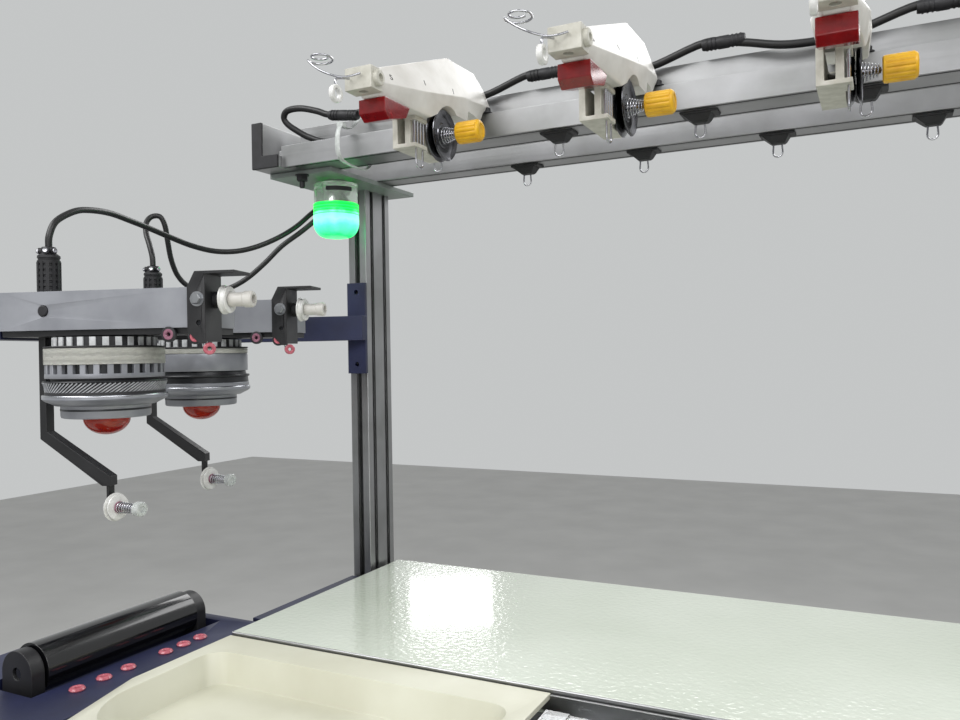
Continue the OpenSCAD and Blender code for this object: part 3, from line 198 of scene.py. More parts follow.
# %% Painted finishes
# A fine grain under a satin skin, so a lamp is a wide soft patch on it.
navy_coat = Finish(
    "navy_powder_coat", "#1f2340", 0.42,
    tint=(60, 4, "#1a1e38", "#262b4c"), gloss=(25, 4, 0.36, 0.52), relief=(0.9, 2, 0.05),
)
# A glossy coat over 6 mm waves, so the reflection of a lamp breaks into sparkling flakes.
# Its colours are cream with a little painted green: the signal lamp's green light on the table, painted in.
green_lit_cream_enamel = Finish(
    "cream_orange_peel_enamel", "#ccd3c6", 0.14, Coat_Weight=0.5, Coat_Roughness=0.06,
    tint=(180, 5, "#c6cebf", "#d3dacd"), gloss=(70, 5, 0.07, 0.14), relief=(6, 1, 0.45),
)
# Thin paint that is rubbed in places, so its edge lights are uneven.
black_coat = Finish(
    "black_satin_coat", "#1b1b1d", 0.38,
    tint=(40, 5, "#151517", "#242426"), gloss=(14, 5, 0.3, 0.5), relief=(0.8, 2, 0.02),
)
# Paint with a little metal in it on a cast housing, so the grey has a cool sheen.
feeder_paint = Finish(
    "grey_cast_housing_paint", "#8e9096", 0.36, Metallic=0.15,
    tint=(45, 5, "#84868c", "#989aa0"), gloss=(15, 5, 0.3, 0.44), relief=(0.6, 2, 0.02),
)
# Plain stove paint on wide sheet, with faint clouds where hands and dust have been.
panel_paint = Finish(
    "light_grey_panel_paint", "#b9bbbd", 0.4, tint=(90, 5, "#b0b2b4", "#c2c4c6"), relief=(0.9, 2, 0.03)
)
# The same paint on the rails' plates, with the signal lamp's green light painted in, so they differ from the
# aluminium.
plate_paint_green_lit = Finish(
    "grey_green_plate_paint", "#7b837f", 0.42, tint=(30, 5, "#717975", "#868e8a"), relief=(0.9, 2, 0.03)
)
# Dark structural paint, rougher than the covers, so the frame stays in the background.
frame_paint = Finish(
    "dark_frame_paint", "#3a3d42", 0.45, tint=(70, 5, "#33363b", "#43464b"), relief=(1.0, 2, 0.04)
)
print("painted finishes made")

# %% [markdown]
# ## Mouldings
# The head housings are thick cream mouldings with a satin skin and wide clouds of dirt. The
# tensioners are white ABS that has aged, with nylon brackets, and their knobs are dyed right through.
# Every moulding has a skin with a grain of well under a millimetre, taken from its polished mould.

# %% Moulded finishes
# A satin skin with wide clouds of handling dirt, so the large housing isn't one flat tone.
cream_moulding = Finish(
    "cream_satin_moulding", "#cfcfbf", 0.4,
    tint=(120, 6, "#c4c3b0", "#d6d6c6"), gloss=(40, 5, 0.34, 0.5), relief=(0.7, 2, 0.03),
)
# White that has yellowed a little, smoother where fingers rub it.
white_moulding = Finish(
    "aged_white_abs", "#d2d0cb", 0.36,
    tint=(30, 6, "#c5c2bb", "#dcdad5"), gloss=(9, 5, 0.3, 0.48), relief=(0.5, 2, 0.02),
)
# Glass fibre shows as a matt, slightly mottled grey white.
beige_moulding = Finish(
    "grey_white_glass_filled_nylon", "#bdbbb0", 0.5, tint=(8, 5, "#b2b0a4", "#c9c7bd"), relief=(0.5, 2, 0.03)
)
# A warm, even yellow that is the brightest spot on each tensioner.
yellow_moulding = Finish(
    "yellow_abs_knob", "#dfa812", 0.38, tint=(9, 5, "#d39c0c", "#e8b61e"), relief=(0.6, 2, 0.02)
)
# Matt black that takes nearly no highlight, for clips, boots, caps and screws.
black_moulding = Finish(
    "black_matt_nylon", "#17171a", 0.55, tint=(12, 4, "#121214", "#202024"), relief=(0.5, 2, 0.03)
)
# Dyed nylon of the yarn carriers, strong in colour and half matt.
orange_moulding = Finish(
    "orange_nylon", "#d2601a", 0.42, tint=(15, 4, "#c55612", "#dc6c24"), relief=(0.5, 2, 0.02)
)
# Glossy red of the stop button, which shows a small sharp highlight.
red_moulding = Finish(
    "red_gloss_abs", "#b4141a", 0.25, tint=(15, 4, "#a61016", "#c01a20"), relief=(0.6, 2, 0.01)
)
print("moulded finishes made")

# %% [markdown]
# ## Metals
# Extruded aluminium carries faint lines along the way it left the die, and then a satin anodised
# skin. The lines are noise stretched along that way, so one recipe is turned for rails and posts.
# Ground steel is the same idea with finer lines. Chrome is smooth, with faint handling marks.


# %% Metal finishes
def lined_metal(name, base, roughness, tint, line_mm, way, gloss, depth):
    """A metal with lines of that width, drawn out along the axis whose number in way is small."""
    made = Finish(name, base, roughness, tint=tint, Metallic=1.0)
    lines = made.noise(line_mm, 2, made.stretched(*way))
    made.gloss(lines, *gloss)
    made.relief(lines, depth)
    return made


# Die lines along the length turn each lamp into a soft streak across the extrusion.
def anodised_aluminium(axis, way):
    name, clouds = "anodised_aluminium_along_" + axis, (60, 5, "#929392", "#aaaaac")
    return lined_metal(name, "#9d9e9e", 0.34, clouds, 1.2, way, (0.26, 0.42), 0.012)


rail_aluminium = anodised_aluminium("x", (0.012, 1, 1))
post_aluminium = anodised_aluminium("z", (1, 1, 0.012))
cross_aluminium = anodised_aluminium("y", (1, 0.012, 1))
# Fine scratches round the ground bars give a broken, silky highlight.
ground_steel = lined_metal(
    "ground_steel", "#a3a5a8", 0.3, (50, 5, "#96989b", "#b0b2b5"), 0.8, (1, 0.02, 0.02), (0.22, 0.4), 0.01
)
# A near mirror, dulled in spots by fingers.
chrome = Finish(
    "polished_chrome", "#b9b9bd", 0.1, Metallic=1.0,
    tint=(20, 4, "#aaaab0", "#c8c8cc"), gloss=(6, 5, 0.05, 0.2),
)
# Plating that yarn has worn, darker and blotchy, so the saucers read as used.
dark_chrome = Finish(
    "worn_disc_chrome", "#606064", 0.12, Metallic=1.0,
    tint=(14, 4, "#4c4c4f", "#76767a"), gloss=(3, 5, 0.08, 0.3),
)
# Turned and polished, so the drum's rim is one bright line.
polished_rim = Finish(
    "polished_aluminium_rim", "#b4b6bb", 0.2, Metallic=1.0,
    tint=(30, 4, "#a6a8ad", "#c2c4c9"), gloss=(10, 4, 0.14, 0.3),
)
print("metal finishes made")

# %% [markdown]
# ## Rubber and ceramic
# The leads have a soft PVC jacket, the feed roller is a smooth, glossy black, and the belt has teeth
# across it. Whatever the yarn rubs on is glazed ceramic, which is hard, bright and never wears matt.

# %% Rubber and ceramic finishes
# A soft satin black with a shallow ripple, so the leads catch a thin broken light along their top.
cable_jacket = Finish("black_cable_jacket", "#121213", 0.42, gloss=(12, 4, 0.34, 0.5), relief=(1.2, 3, 0.03))
# Lacquered, so a lamp runs along the roller as one clear stripe.
gloss_roller = Finish(
    "glossy_black_roller", "#0c0c0e", 0.16, Coat_Weight=0.6, Coat_Roughness=0.08,
    gloss=(30, 5, 0.1, 0.26), relief=(2.5, 2, 0.01),
)
# Matt rubber with ribs across it. At scale 1 a wave repeats each pi / 10 of a metre.
belt_rib = 7.854
belt_rubber = Finish("black_belt_rubber", "#1a1a1a", 0.6)
belt_waves = {"Scale": 100 * math.pi / belt_rib, "bands_direction": "X"}
belt_waves = add(belt_rubber.tree, "ShaderNodeTexWave", belt_waves, Vector=belt_rubber.place)
belt_rubber.relief(belt_waves.outputs["Fac"], 0.4)
# Glaze over a coloured body gives small, sharp highlights and soft spots of colour.
pink_ceramic = Finish("pink_glazed_ceramic", "#b8606c", 0.2, tint=(4, 4, "#a85460", "#c66f7b"))
white_ceramic = Finish("white_glazed_ceramic", "#e2e2df", 0.22, tint=(7, 4, "#d4d4d0", "#ececea"))
mauve_ceramic = Finish("mauve_eyelet_ceramic", "#8c5f70", 0.22, tint=(3, 4, "#7c5262", "#9c6c7e"))
print("rubber and ceramic finishes made")

# %% [markdown]
# ## Glass and light
# The sliding covers are clear acrylic sheet, and the lamps' lenses are dyed polycarbonate that light
# passes through. The signal lamp is lit: its ribbed lens is brightest around its bulb, so the glow
# follows the height, with a little noise that keeps the bands from looking drawn.

# %% Clear finishes
# Clear right through, with faint wipe marks in its shine.
clear_acrylic = Finish(
    "clear_acrylic_sheet", "#f2f6f7", 0.06, Transmission_Weight=1.0, IOR=1.49, gloss=(60, 5, 0.03, 0.14)
)
# Deep red that lets some light in, so its edges are warmer than its face.
red_lens = Finish(
    "red_polycarbonate_lens", "#a01016", 0.16, Transmission_Weight=0.45, IOR=1.58,
    tint=(9, 4, "#8c0a12", "#b0161c"),
)
# Orange red that lets light in, so the dome glows a little under the dark drum.
red_dome = Finish(
    "red_dome_polycarbonate", "#e23c18", 0.1, Transmission_Weight=0.5, IOR=1.58,
    tint=(14, 4, "#a81c0e", "#d8401c"),
)
# Clear upper half of the signal lamp, in which its inside shows pale.
clear_lamp = Finish(
    "clear_polycarbonate", "#e8efe9", 0.12, Transmission_Weight=0.75, IOR=1.58,
    tint=(9, 3, "#dfe8e2", "#f2f7f3"),
)
# Milky natural nylon of the small knobs and the cable tie.
frosted_knob = Finish(
    "clear_nylon_knob", "#d8dcda", 0.25, Transmission_Weight=0.35, IOR=1.5,
    tint=(4, 3, "#cdd2cf", "#e4e8e6"),
)
# Nearly black glass, so the screen that is off mirrors the room.
screen_glass = Finish("dark_screen_glass", "#0d1016", 0.08, Coat_Weight=0.5, gloss=(40, 4, 0.05, 0.16))
print("clear finishes made")

# %% The lit lens
# Light from within: a pale green band in the middle, pure green above and below it.
green_lens = Finish("green_lit_polycarbonate", "#37d67a", 0.2, Transmission_Weight=0.2, IOR=1.58)
lens_bottom, lens_top = (corner.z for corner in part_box("signal_lamp_lens"))
height = add(green_lens.tree, "ShaderNodeSeparateXYZ", Vector=green_lens.place).outputs["Z"]
lens_ends = {"From Min": lens_bottom, "From Max": lens_top}
height = add(green_lens.tree, "ShaderNodeMapRange", lens_ends, Value=height).outputs["Result"]
uneven = {"To Min": -0.12, "To Max": 0.12}
uneven = add(green_lens.tree, "ShaderNodeMapRange", uneven, Value=green_lens.noise(12, 2)).outputs["Result"]
level = add(green_lens.tree, "ShaderNodeMath", {"operation": "ADD"}, i0=height, i1=uneven)
glow = add(green_lens.tree, "ShaderNodeValToRGB", Fac=level.outputs["Value"])
glow.color_ramp.elements[0].color = colour("#08d85a")
glow.color_ramp.elements[1].color = colour("#02c434")
for position, tone in ((0.32, "#4cf8a4"), (0.5, "#7effc4"), (0.66, "#6affb4"), (0.78, "#04dc44")):
    glow.color_ramp.elements.new(position).color = colour(tone)
green_lens.tree.links.new(glow.outputs["Color"], green_lens.shader.inputs["Emission Color"])
green_lens.shader.inputs["Emission Strength"].default_value = 1.9
# The shaded sides of the lens's ribs, as dark green lines in the glow.
green_rib = Finish("green_lens_rib_shade", "#0a8a3a", 0.3, tint=(9, 3, "#08792f", "#0c9a44"))
print("the lens glows over", round(1000 * (lens_top - lens_bottom), 1), "mm")

# %% [markdown]
# ## Yarn, bristles and drums
# The yarn lies on its drum in close turns, a thread beside a thread, so its relief is a fine wave up
# the drum with fuzz over it. The drums' layers are painted or polished rings, and the ring of white
# teeth at the top is what the feeder's sensor counts.

# %% Yarn, bristle and drum finishes
# Soft, matt cotton: a thread's pitch of 0.75 mm as bands, and fuzz that blurs them.
thread_pitch = 0.748
wound_yarn = Finish("wound_cotton_yarn", "#d8d8d2", 0.85, Sheen_Weight=0.4)
thread_scale = 100 * math.pi / thread_pitch
winding = {"Scale": thread_scale, "bands_direction": "Z", "Distortion": 3.0, "Detail Scale": 0.6}
winding = add(wound_yarn.tree, "ShaderNodeTexWave", winding, Vector=wound_yarn.place).outputs["Fac"]
fuzz = wound_yarn.noise(1.4, 4, wound_yarn.stretched(0.25, 0.25, 1))
threads = add(wound_yarn.tree, "ShaderNodeMath", {"operation": "MULTIPLY"}, i0=winding, i1=fuzz)
wound_yarn.tint(threads.outputs["Value"], "#bcbcb4", "#e4e4de", 0.05, 0.5)
wound_yarn.relief(winding, 0.35)
wound_yarn.relief(fuzz, 0.3)
# Drawn nylon, a little glossy, so each bristle is a light line on the dark bed.
bristle_nylon = Finish("grey_bristle_nylon", "#a2a4a8", 0.4, tint=(6, 2, "#94969a", "#b4b6ba"))
# Smooth grey lacquer on aluminium, with a sheen but no mirror.
drum_grey = Finish(
    "smooth_grey_drum", "#8b8d94", 0.34, Metallic=0.3,
    tint=(30, 4, "#81838a", "#97999f"), relief=(0.8, 2, 0.015),
)
# Dark rings for the drums' dark band and lip, and as painted shade in the foot's groove and behind the
# castellations.
dark_band_and_gap_shade = Finish("dark_drum_band", "#212326", 0.34, Metallic=0.2, tint=(20, 4, "#1b1c1f", "#2b2d31"))
# Bright moulded teeth against a black ring.
tooth_white = Finish("white_encoder_tooth", "#c9cbcc", 0.32, tint=(5, 3, "#b8babb", "#d8dadb"))
print("finishes made:", len(bpy.data.materials))

# %% [markdown]
# ## Mesh helpers
# Turned pieces, such as drums and knobs, come from a profile spun about Z. Wires and leads come from
# a circle carried along a path. Boxes and plates come from an outline pushed along an axis. All
# sizes are written in millimetres, as on the drawing, and only the last step turns them to metres.


# %% Turned shapes
def lathe(profile, sides=64):
    """A profile of (radius, height) about Z. Ends at radius 0 close to a point; a loop stays a ring."""
    verts, rows, faces = [], [], []
    for r, z in profile:
        if r < 1e-6:
            rows.append([len(verts)])
            verts.append(Vector((0, 0, z)))
        else:
            rows.append(list(range(len(verts), len(verts) + sides)))
            angles = [2 * math.pi * k / sides for k in range(sides)]
            verts += [Vector((r * math.cos(a), r * math.sin(a), z)) for a in angles]
    for low, high in zip(rows, rows[1:]):
        for k in range(sides):
            n = (k + 1) % sides
            if len(low) == 1 and len(high) > 1:
                faces.append((low[0], high[n], high[k]))
            elif len(high) == 1 and len(low) > 1:
                faces.append((low[k], low[n], high[0]))
            elif len(low) > 1:
                faces.append((low[k], low[n], high[n], high[k]))
    return verts, faces


def ring_of(profile, sides=64):
    """A closed profile, such as a washer's section, turned about Z."""
    return lathe(list(profile) + [profile[0]], sides)


# %% Drawn wires and the curve they follow
def drawn(path, radius, sides=10):
    """A round wire along a path. The section turns as little as it can."""
    path = [Vector(p) for p in path]
    count = len(path)
    verts, faces = [], []
    side = None
    for i, p in enumerate(path):
        along = (path[min(i + 1, count - 1)] - path[max(i - 1, 0)]).normalized()
        if side is None:
            side = along.orthogonal().normalized()
        side = (side - along * side.dot(along)).normalized()
        other = along.cross(side)
        angles = [2 * math.pi * k / sides for k in range(sides)]
        verts += [p + radius * (math.cos(a) * side + math.sin(a) * other) for a in angles]
    for i in range(count - 1):
        here, there = i * sides, (i + 1) * sides
        for k in range(sides):
            n = (k + 1) % sides
            faces.append((here + k, here + n, there + n, there + k))
    faces += [tuple(range(sides))[::-1], tuple((count - 1) * sides + k for k in range(sides))]
    return verts, faces


def smooth_path(points, steps):
    """Catmull-Rom curve through points, with the same rule as the solids' leads."""
    p = [Vector(q) for q in points]
    out = []
    for i in range(len(p) - 1):
        a, b, c, d = p[max(i - 1, 0)], p[i], p[i + 1], p[min(i + 2, len(p) - 1)]
        for k in range(steps):
            t = k / steps
            square, cube = 2 * a - 5 * b + 4 * c - d, 3 * b - 3 * c + d - a
            out.append(0.5 * (2 * b + (c - a) * t + square * t * t + cube * t**3))
    return out + [p[-1]]


# %% Pushed shapes, and shapes moved or joined
def pushed(outline, low, high, axis="z"):
    """An outline pushed from low to high. Its two numbers are the other two axes, in X, Y, Z order."""
    def corner(p, h):
        return Vector({"x": (h, p[0], p[1]), "y": (p[0], h, p[1]), "z": (p[0], p[1], h)}[axis])
    count = len(outline)
    verts = [corner(p, low) for p in outline] + [corner(p, high) for p in outline]
    faces = [tuple(range(count)), tuple(range(2 * count - 1, count - 1, -1))]
    faces += [(k, (k + 1) % count, count + (k + 1) % count, count + k) for k in range(count)]
    return verts, faces


def block(low, high):
    outline = [(low[0], low[1]), (high[0], low[1]), (high[0], high[1]), (low[0], high[1])]
    return pushed(outline, low[2], high[2])


def moved(shape, matrix):
    return [matrix @ v for v in shape[0]], shape[1]


def joined(*shapes):
    verts, faces = [], []
    for v, f in shapes:
        faces += [tuple(i + len(verts) for i in face) for face in f]
        verts += v
    return verts, faces



# %% From a shape to a piece of the machine
def closed_mesh(name, shape, place=Matrix.Identity(4)):
    """A mesh in metres from a closed shape in millimetres."""
    mesh = bpy.data.meshes.new(name)
    to_metres = Matrix.Scale(0.001, 4) @ place
    mesh.from_pydata([to_metres @ v for v in shape[0]], [], shape[1])
    work = bmesh.new()
    work.from_mesh(mesh)
    bmesh.ops.remove_doubles(work, verts=work.verts, dist=1e-6)
    bmesh.ops.recalc_face_normals(work, faces=work.faces)
    work.to_mesh(mesh)
    work.free()
    return mesh


def shade(mesh, angle=35):
    """Smooth faces that meet at less than the angle, and a crisp edge elsewhere."""
    mesh.polygons.foreach_set("use_smooth", [True] * len(mesh.polygons))
    mesh.set_sharp_from_angle(angle=math.radians(angle))


def round_edges(piece, width, segments=2, angle=32):
    """A small round on every edge that is sharper than the angle."""
    bevel = piece.modifiers.new("worn edges", "BEVEL")
    bevel.width = width / 1000
    bevel.segments = segments
    bevel.limit_method = "ANGLE"
    bevel.angle_limit = math.radians(angle)
    bevel.harden_normals = True
    bevel.miter_outer = "MITER_ARC"


def make(name, shape, finish, body="machine", edge=0.0, angle=35, replaces=(), place=Matrix.Identity(4)):
    """Builds a closed piece from a shape in millimetres and lets it ride on its body."""
    mesh = closed_mesh(name, shape, place)
    mesh.materials.append(finish.material)
    shade(mesh, angle)
    piece = linked(name, mesh)
    if edge:
        round_edges(piece, edge)
    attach(piece, body)
    if replaces:
        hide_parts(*replaces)
    return piece


# %% [markdown]
# ## Solids that only need a finish
# A solid whose shape is right is kept. Straight from CAD its edges are razor sharp, which no real
# sheet or moulding is, so a copy is merged, its flat faces are joined, and a small bevel catches the
# light along each edge. A flat area with a hole in it can't become one face, so it stays in triangles.
# On a louvred sheet only the wide faces get the bevel, because the slots are as thin as the bevel.


# %% A copy of a solid with worn edges
def pierced(work, limit):
    """The faces of every flat area that has a hole in it: corners - lines + faces isn't 1 there."""
    left, found = set(work.faces), set()
    while left:
        area, queue = set(), [left.pop()]
        while queue:
            face = queue.pop()
            area.add(face)
            for line in face.edges:
                if len(line.link_faces) == 2 and line.calc_face_angle() < limit:
                    near = left.intersection(line.link_faces)
                    left -= near
                    queue += near
        lines = {line for face in area for line in face.edges}
        corners = {corner for face in area for corner in face.verts}
        if len(corners) - len(lines) + len(area) != 1:
            found |= area
    return found


def weigh_wide_edges(work, angle, slot=0.003):
    """Marks for the bevel each sharp edge between faces that are wider than a slot, in metres."""
    weights = work.edges.layers.float.new("bevel_weight_edge")
    for line in work.edges:
        longest = {face: max(edge.calc_length() for edge in face.edges) for face in line.link_faces}
        wide = all(2 * face.calc_area() > 2 * slot * longest[face] for face in line.link_faces)
        sharp = len(line.link_faces) == 2 and line.calc_face_angle() > math.radians(angle)
        line[weights] = float(wide and sharp)


def dressed(node, finish, edge=0.6, angle=32, segments=2, louvred=False):
    """A copy of a solid with merged faces, a finish and worn edges, which stands for the solid."""
    source = nodes[node]
    mesh = source.data.copy()
    mesh.name = node + "_dressed"
    work = bmesh.new()
    work.from_mesh(mesh)
    bmesh.ops.remove_doubles(work, verts=work.verts, dist=2e-6)
    flat = math.radians(0.3)
    kept = pierced(work, flat)
    lines = [line for line in work.edges if not kept.intersection(line.link_faces)]
    corners = [corner for corner in work.verts if not kept.intersection(corner.link_faces)]
    bmesh.ops.dissolve_limit(work, angle_limit=flat, verts=corners, edges=lines)
    if louvred:
        weigh_wide_edges(work, angle)
    work.to_mesh(mesh)
    work.free()
    mesh.materials.clear()
    mesh.materials.append(finish.material)
    for face in mesh.polygons:
        face.material_index = 0
    shade(mesh, angle)
    piece = linked(node + "_dressed", mesh)
    if edge:
        round_edges(piece, edge, segments, angle)
        if louvred:
            piece.modifiers["worn edges"].limit_method = "WEIGHT"
    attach(piece, source["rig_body"])
    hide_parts(node)
    return piece


# %% [markdown]
# ## Patterns with Geometry Nodes
# Whatever repeats is set out by a node tree with named inputs: a row along a line for the tensioner
# units, a ring about an axis for teeth and bristles, a set of points for clips and eyelets, and a
# helix for springs. Each result is turned to a plain mesh, because an exported model keeps no
# instances. Millimetres become metres on the way into a tree.


# %% How every tree starts and ends
def new_tree(name, **inputs):
    """A tree with these inputs, in this order, and one geometry output."""
    tree = bpy.data.node_groups.new(name, "GeometryNodeTree")
    tree.interface.new_socket("Geometry", in_out="OUTPUT", socket_type="NodeSocketGeometry")
    for label, kind in inputs.items():
        kind = "NodeSocket" + kind
        tree.interface.new_socket(label.replace("_", " "), in_out="INPUT", socket_type=kind)
    return tree, tree.nodes.new("NodeGroupInput").outputs, tree.nodes.new("NodeGroupOutput").inputs[0]


def close_tree(tree, geometry, finish, out):
    """Makes the instances real and gives them their finish."""
    real = add(tree, "GeometryNodeRealizeInstances", Geometry=geometry)
    painted = add(tree, "GeometryNodeSetMaterial", Geometry=real.outputs["Geometry"], Material=finish)
    tree.links.new(painted.outputs["Geometry"], out)


# %% The row tree
row_tree, given, out = new_tree(
    "row_of_pieces", Geometry="Geometry", Piece="Object", Count="Int", Start="Vector", Step="Vector",
    Finish="Material",
)
line = add(
    row_tree, "GeometryNodeMeshLine", {"mode": "OFFSET"},
    Count=given["Count"], Start_Location=given["Start"], Offset=given["Step"],
)
thing = add(row_tree, "GeometryNodeObjectInfo", Object=given["Piece"])
spread = add(
    row_tree, "GeometryNodeInstanceOnPoints", Points=line.outputs["Mesh"], Instance=thing.outputs["Geometry"]
)
close_tree(row_tree, spread.outputs["Instances"], given["Finish"], out)
print(row_tree.name, "has", len(row_tree.nodes), "nodes")

# %% The ring tree
ring_tree, given, out = new_tree(
    "ring_of_pieces", Geometry="Geometry", Piece="Object", Count="Int", Radius="Float", Place="Vector",
    Turn="Vector", Finish="Material",
)
circle = add(ring_tree, "GeometryNodeMeshCircle", Vertices=given["Count"], Radius=given["Radius"])
thing = add(ring_tree, "GeometryNodeObjectInfo", Object=given["Piece"])
where = add(ring_tree, "GeometryNodeInputPosition")
facing = add(
    ring_tree, "FunctionNodeAlignRotationToVector", {"axis": "X", "pivot_axis": "Z"},
    Vector=where.outputs["Position"],
)
spread = add(
    ring_tree, "GeometryNodeInstanceOnPoints",
    Points=circle.outputs["Mesh"], Instance=thing.outputs["Geometry"], Rotation=facing.outputs["Rotation"],
)
placed = add(
    ring_tree, "GeometryNodeTransform",
    Geometry=spread.outputs["Instances"], Translation=given["Place"], Rotation=given["Turn"],
)
close_tree(ring_tree, placed.outputs["Geometry"], given["Finish"], out)
print(ring_tree.name, "has", len(ring_tree.nodes), "nodes")

# %% The points tree
points_tree, given, out = new_tree(
    "pieces_at_points", Geometry="Geometry", Piece="Object", Finish="Material"
)
thing = add(points_tree, "GeometryNodeObjectInfo", Object=given["Piece"])
spread = add(
    points_tree, "GeometryNodeInstanceOnPoints", Points=given["Geometry"], Instance=thing.outputs["Geometry"]
)
close_tree(points_tree, spread.outputs["Instances"], given["Finish"], out)
print(points_tree.name, "has", len(points_tree.nodes), "nodes")

# %% The helix tree
helix_tree, given, out = new_tree(
    "wire_helix", Geometry="Geometry", Turns="Float", Low_Radius="Float", High_Radius="Float",
    Height="Float", Wire="Float", Finish="Material",
)
spiral = add(
    helix_tree, "GeometryNodeCurveSpiral", {"Resolution": 20}, Rotations=given["Turns"],
    Start_Radius=given["Low Radius"], End_Radius=given["High Radius"], Height=given["Height"],
)
section = add(helix_tree, "GeometryNodeCurvePrimitiveCircle", {"Resolution": 8}, Radius=given["Wire"])
wire = add(
    helix_tree, "GeometryNodeCurveToMesh", {"Fill Caps": True},
    Curve=spiral.outputs["Curve"], Profile_Curve=section.outputs["Curve"],
)
close_tree(helix_tree, wire.outputs["Mesh"], given["Finish"], out)
print(helix_tree.name, "has", len(helix_tree.nodes), "nodes")


# %% Growing a piece from a tree
def pattern_part(name, shape):
    """The piece that a pattern repeats. It is removed again when the pattern is a mesh."""
    return bpy.data.objects.new(name, closed_mesh(name, shape))


def grow(name, tree, finish, body="machine", points=(), angle=35, ride=True, **inputs):
    """Runs a tree on an object, keeps the result as its mesh and lets it ride on its body."""
    host = linked(name, bpy.data.meshes.new(name + "_points"))
    host.data.from_pydata([Vector(p) * 0.001 for p in points], [], [])
    pattern = host.modifiers.new("pattern", "NODES")
    pattern.node_group = tree
    inputs["Finish"] = finish.material
    for item in tree.interface.items_tree:
        label = item.name.replace(" ", "_")
        if item.in_out == "INPUT" and label in inputs:
            pattern[item.identifier] = inputs[label]
    mesh = bpy.data.meshes.new_from_object(host.evaluated_get(bpy.context.evaluated_depsgraph_get()))
    host.modifiers.clear()
    host.data = mesh
    shade(mesh, angle)
    if "Piece" in inputs:
        bpy.data.objects.remove(inputs["Piece"])
    if ride:
        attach(host, body)
    return host


def spring(turns, low_radius, high_radius, height, wire):
    """A conical wire spring as a shape in millimetres, grown by the helix tree."""
    sizes = {"Low_Radius": low_radius, "High_Radius": high_radius, "Height": height, "Wire": wire}
    sizes = {label: size / 1000 for label, size in sizes.items()}
    helix = grow("spring_wire", helix_tree, chrome, ride=False, Turns=turns, **sizes)
    faces = [tuple(face.vertices) for face in helix.data.polygons]
    shape = ([v.co * 1000 for v in helix.data.vertices], faces)
    bpy.data.objects.remove(helix)
    return shape


def mm(x, y, z):
    """A place in millimetres as the metres that a tree takes."""
    return (x / 1000, y / 1000, z / 1000)


# %% [markdown]
# ## Leads
# Two 7 mm leads rise from the storage feeders, sag in a loose curve and go up into the grommet of
# the left plate. One 8 mm lead comes out of the rail's channel, makes a loop of spare length and
# arches from tensioner to tensioner. Each is one smooth curve with a round section, on the points of
# its solid. A curve keeps the section round in every bend, which a chain of rods wouldn't.


# %% A lead along its points
def lead(name, points, steps, diameter, node):
    """A lead on its solid's points, in millimetres."""
    path = smooth_path(points, steps)
    curve = bpy.data.curves.new(name, "CURVE")
    curve.dimensions = "3D"
    curve.bevel_depth = diameter / 2000
    curve.bevel_resolution = 4
    curve.use_fill_caps = True
    spline = curve.splines.new("POLY")
    spline.points.add(len(path) - 1)
    for point, place in zip(spline.points, path):
        point.co = (*(place * 0.001), 1)
    spline.use_smooth = True
    curve.materials.append(cable_jacket.material)
    piece = linked(name, curve)
    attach(piece, "machine")
    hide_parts(node)
    return piece


# %% The points of the leads
unit_pitch, unit_count = 192, 9  # the tensioners along the rail, in millimetres
lead_1_points = [
    (-1160, -38, 1620), (-1160, -37, 1632), (-1161, -28, 1648), (-1164, -4, 1662), (-1169, 20, 1667.5),
    (-1179, 55, 1670), (-1187, 90, 1667), (-1189, 120, 1662), (-1185, 150, 1654), (-1178, 180, 1646),
    (-1167, 208, 1641.5), (-1152, 232, 1643), (-1137, 256, 1651), (-1120, 280, 1665), (-1108, 303, 1682),
    (-1096, 322, 1702), (-1084, 340, 1719), (-1081, 345, 1729), (-1081, 345, 1734.7),
]
lead_2_points = [
    (-1214.5, 147.5, 1620), (-1216, 148, 1632), (-1223, 150, 1648), (-1234, 155, 1664), (-1241, 162, 1679),
    (-1240, 170, 1688), (-1232, 177, 1688), (-1229, 182, 1676), (-1230, 187, 1656), (-1232, 194, 1634),
    (-1231, 203, 1614), (-1225, 214, 1600), (-1215, 228, 1593), (-1202, 243, 1592), (-1186, 257, 1598),
    (-1167, 269, 1611), (-1146, 280, 1631), (-1127, 294, 1655), (-1104, 310, 1676), (-1086, 326, 1697),
    (-1074, 340, 1715), (-1072, 345, 1728), (-1072, 345, 1734.7),
]
rail_lead_points = [
    (-905, 238, 1759), (-905, 238, 1766), (-915, 237, 1769), (-955, 235, 1769), (-1000, 234, 1770),
    (-1026, 231, 1778), (-1043, 226, 1788), (-1054, 221, 1797), (-1056, 217, 1805), (-1047, 214, 1811),
    (-1025, 212, 1810), (-1000, 212, 1803), (-985, 213, 1797), (-962, 214, 1793), (-935, 219, 1795),
    (-900, 229, 1799), (-870, 238, 1800), (-840, 243, 1799),
]
for i in range(unit_count):
    arch = ((-787, 244, 1798), (-727, 240, 1812), (-691, 240, 1806), (-647, 240, 1796))
    rail_lead_points += [(x + unit_pitch * i, y, z) for x, y, z in arch]
rail_lead_points += [(980, 240, 1770), (992, 240, 1766), (992, 240, 1759)]
print("points:", len(lead_1_points), len(lead_2_points), len(rail_lead_points))

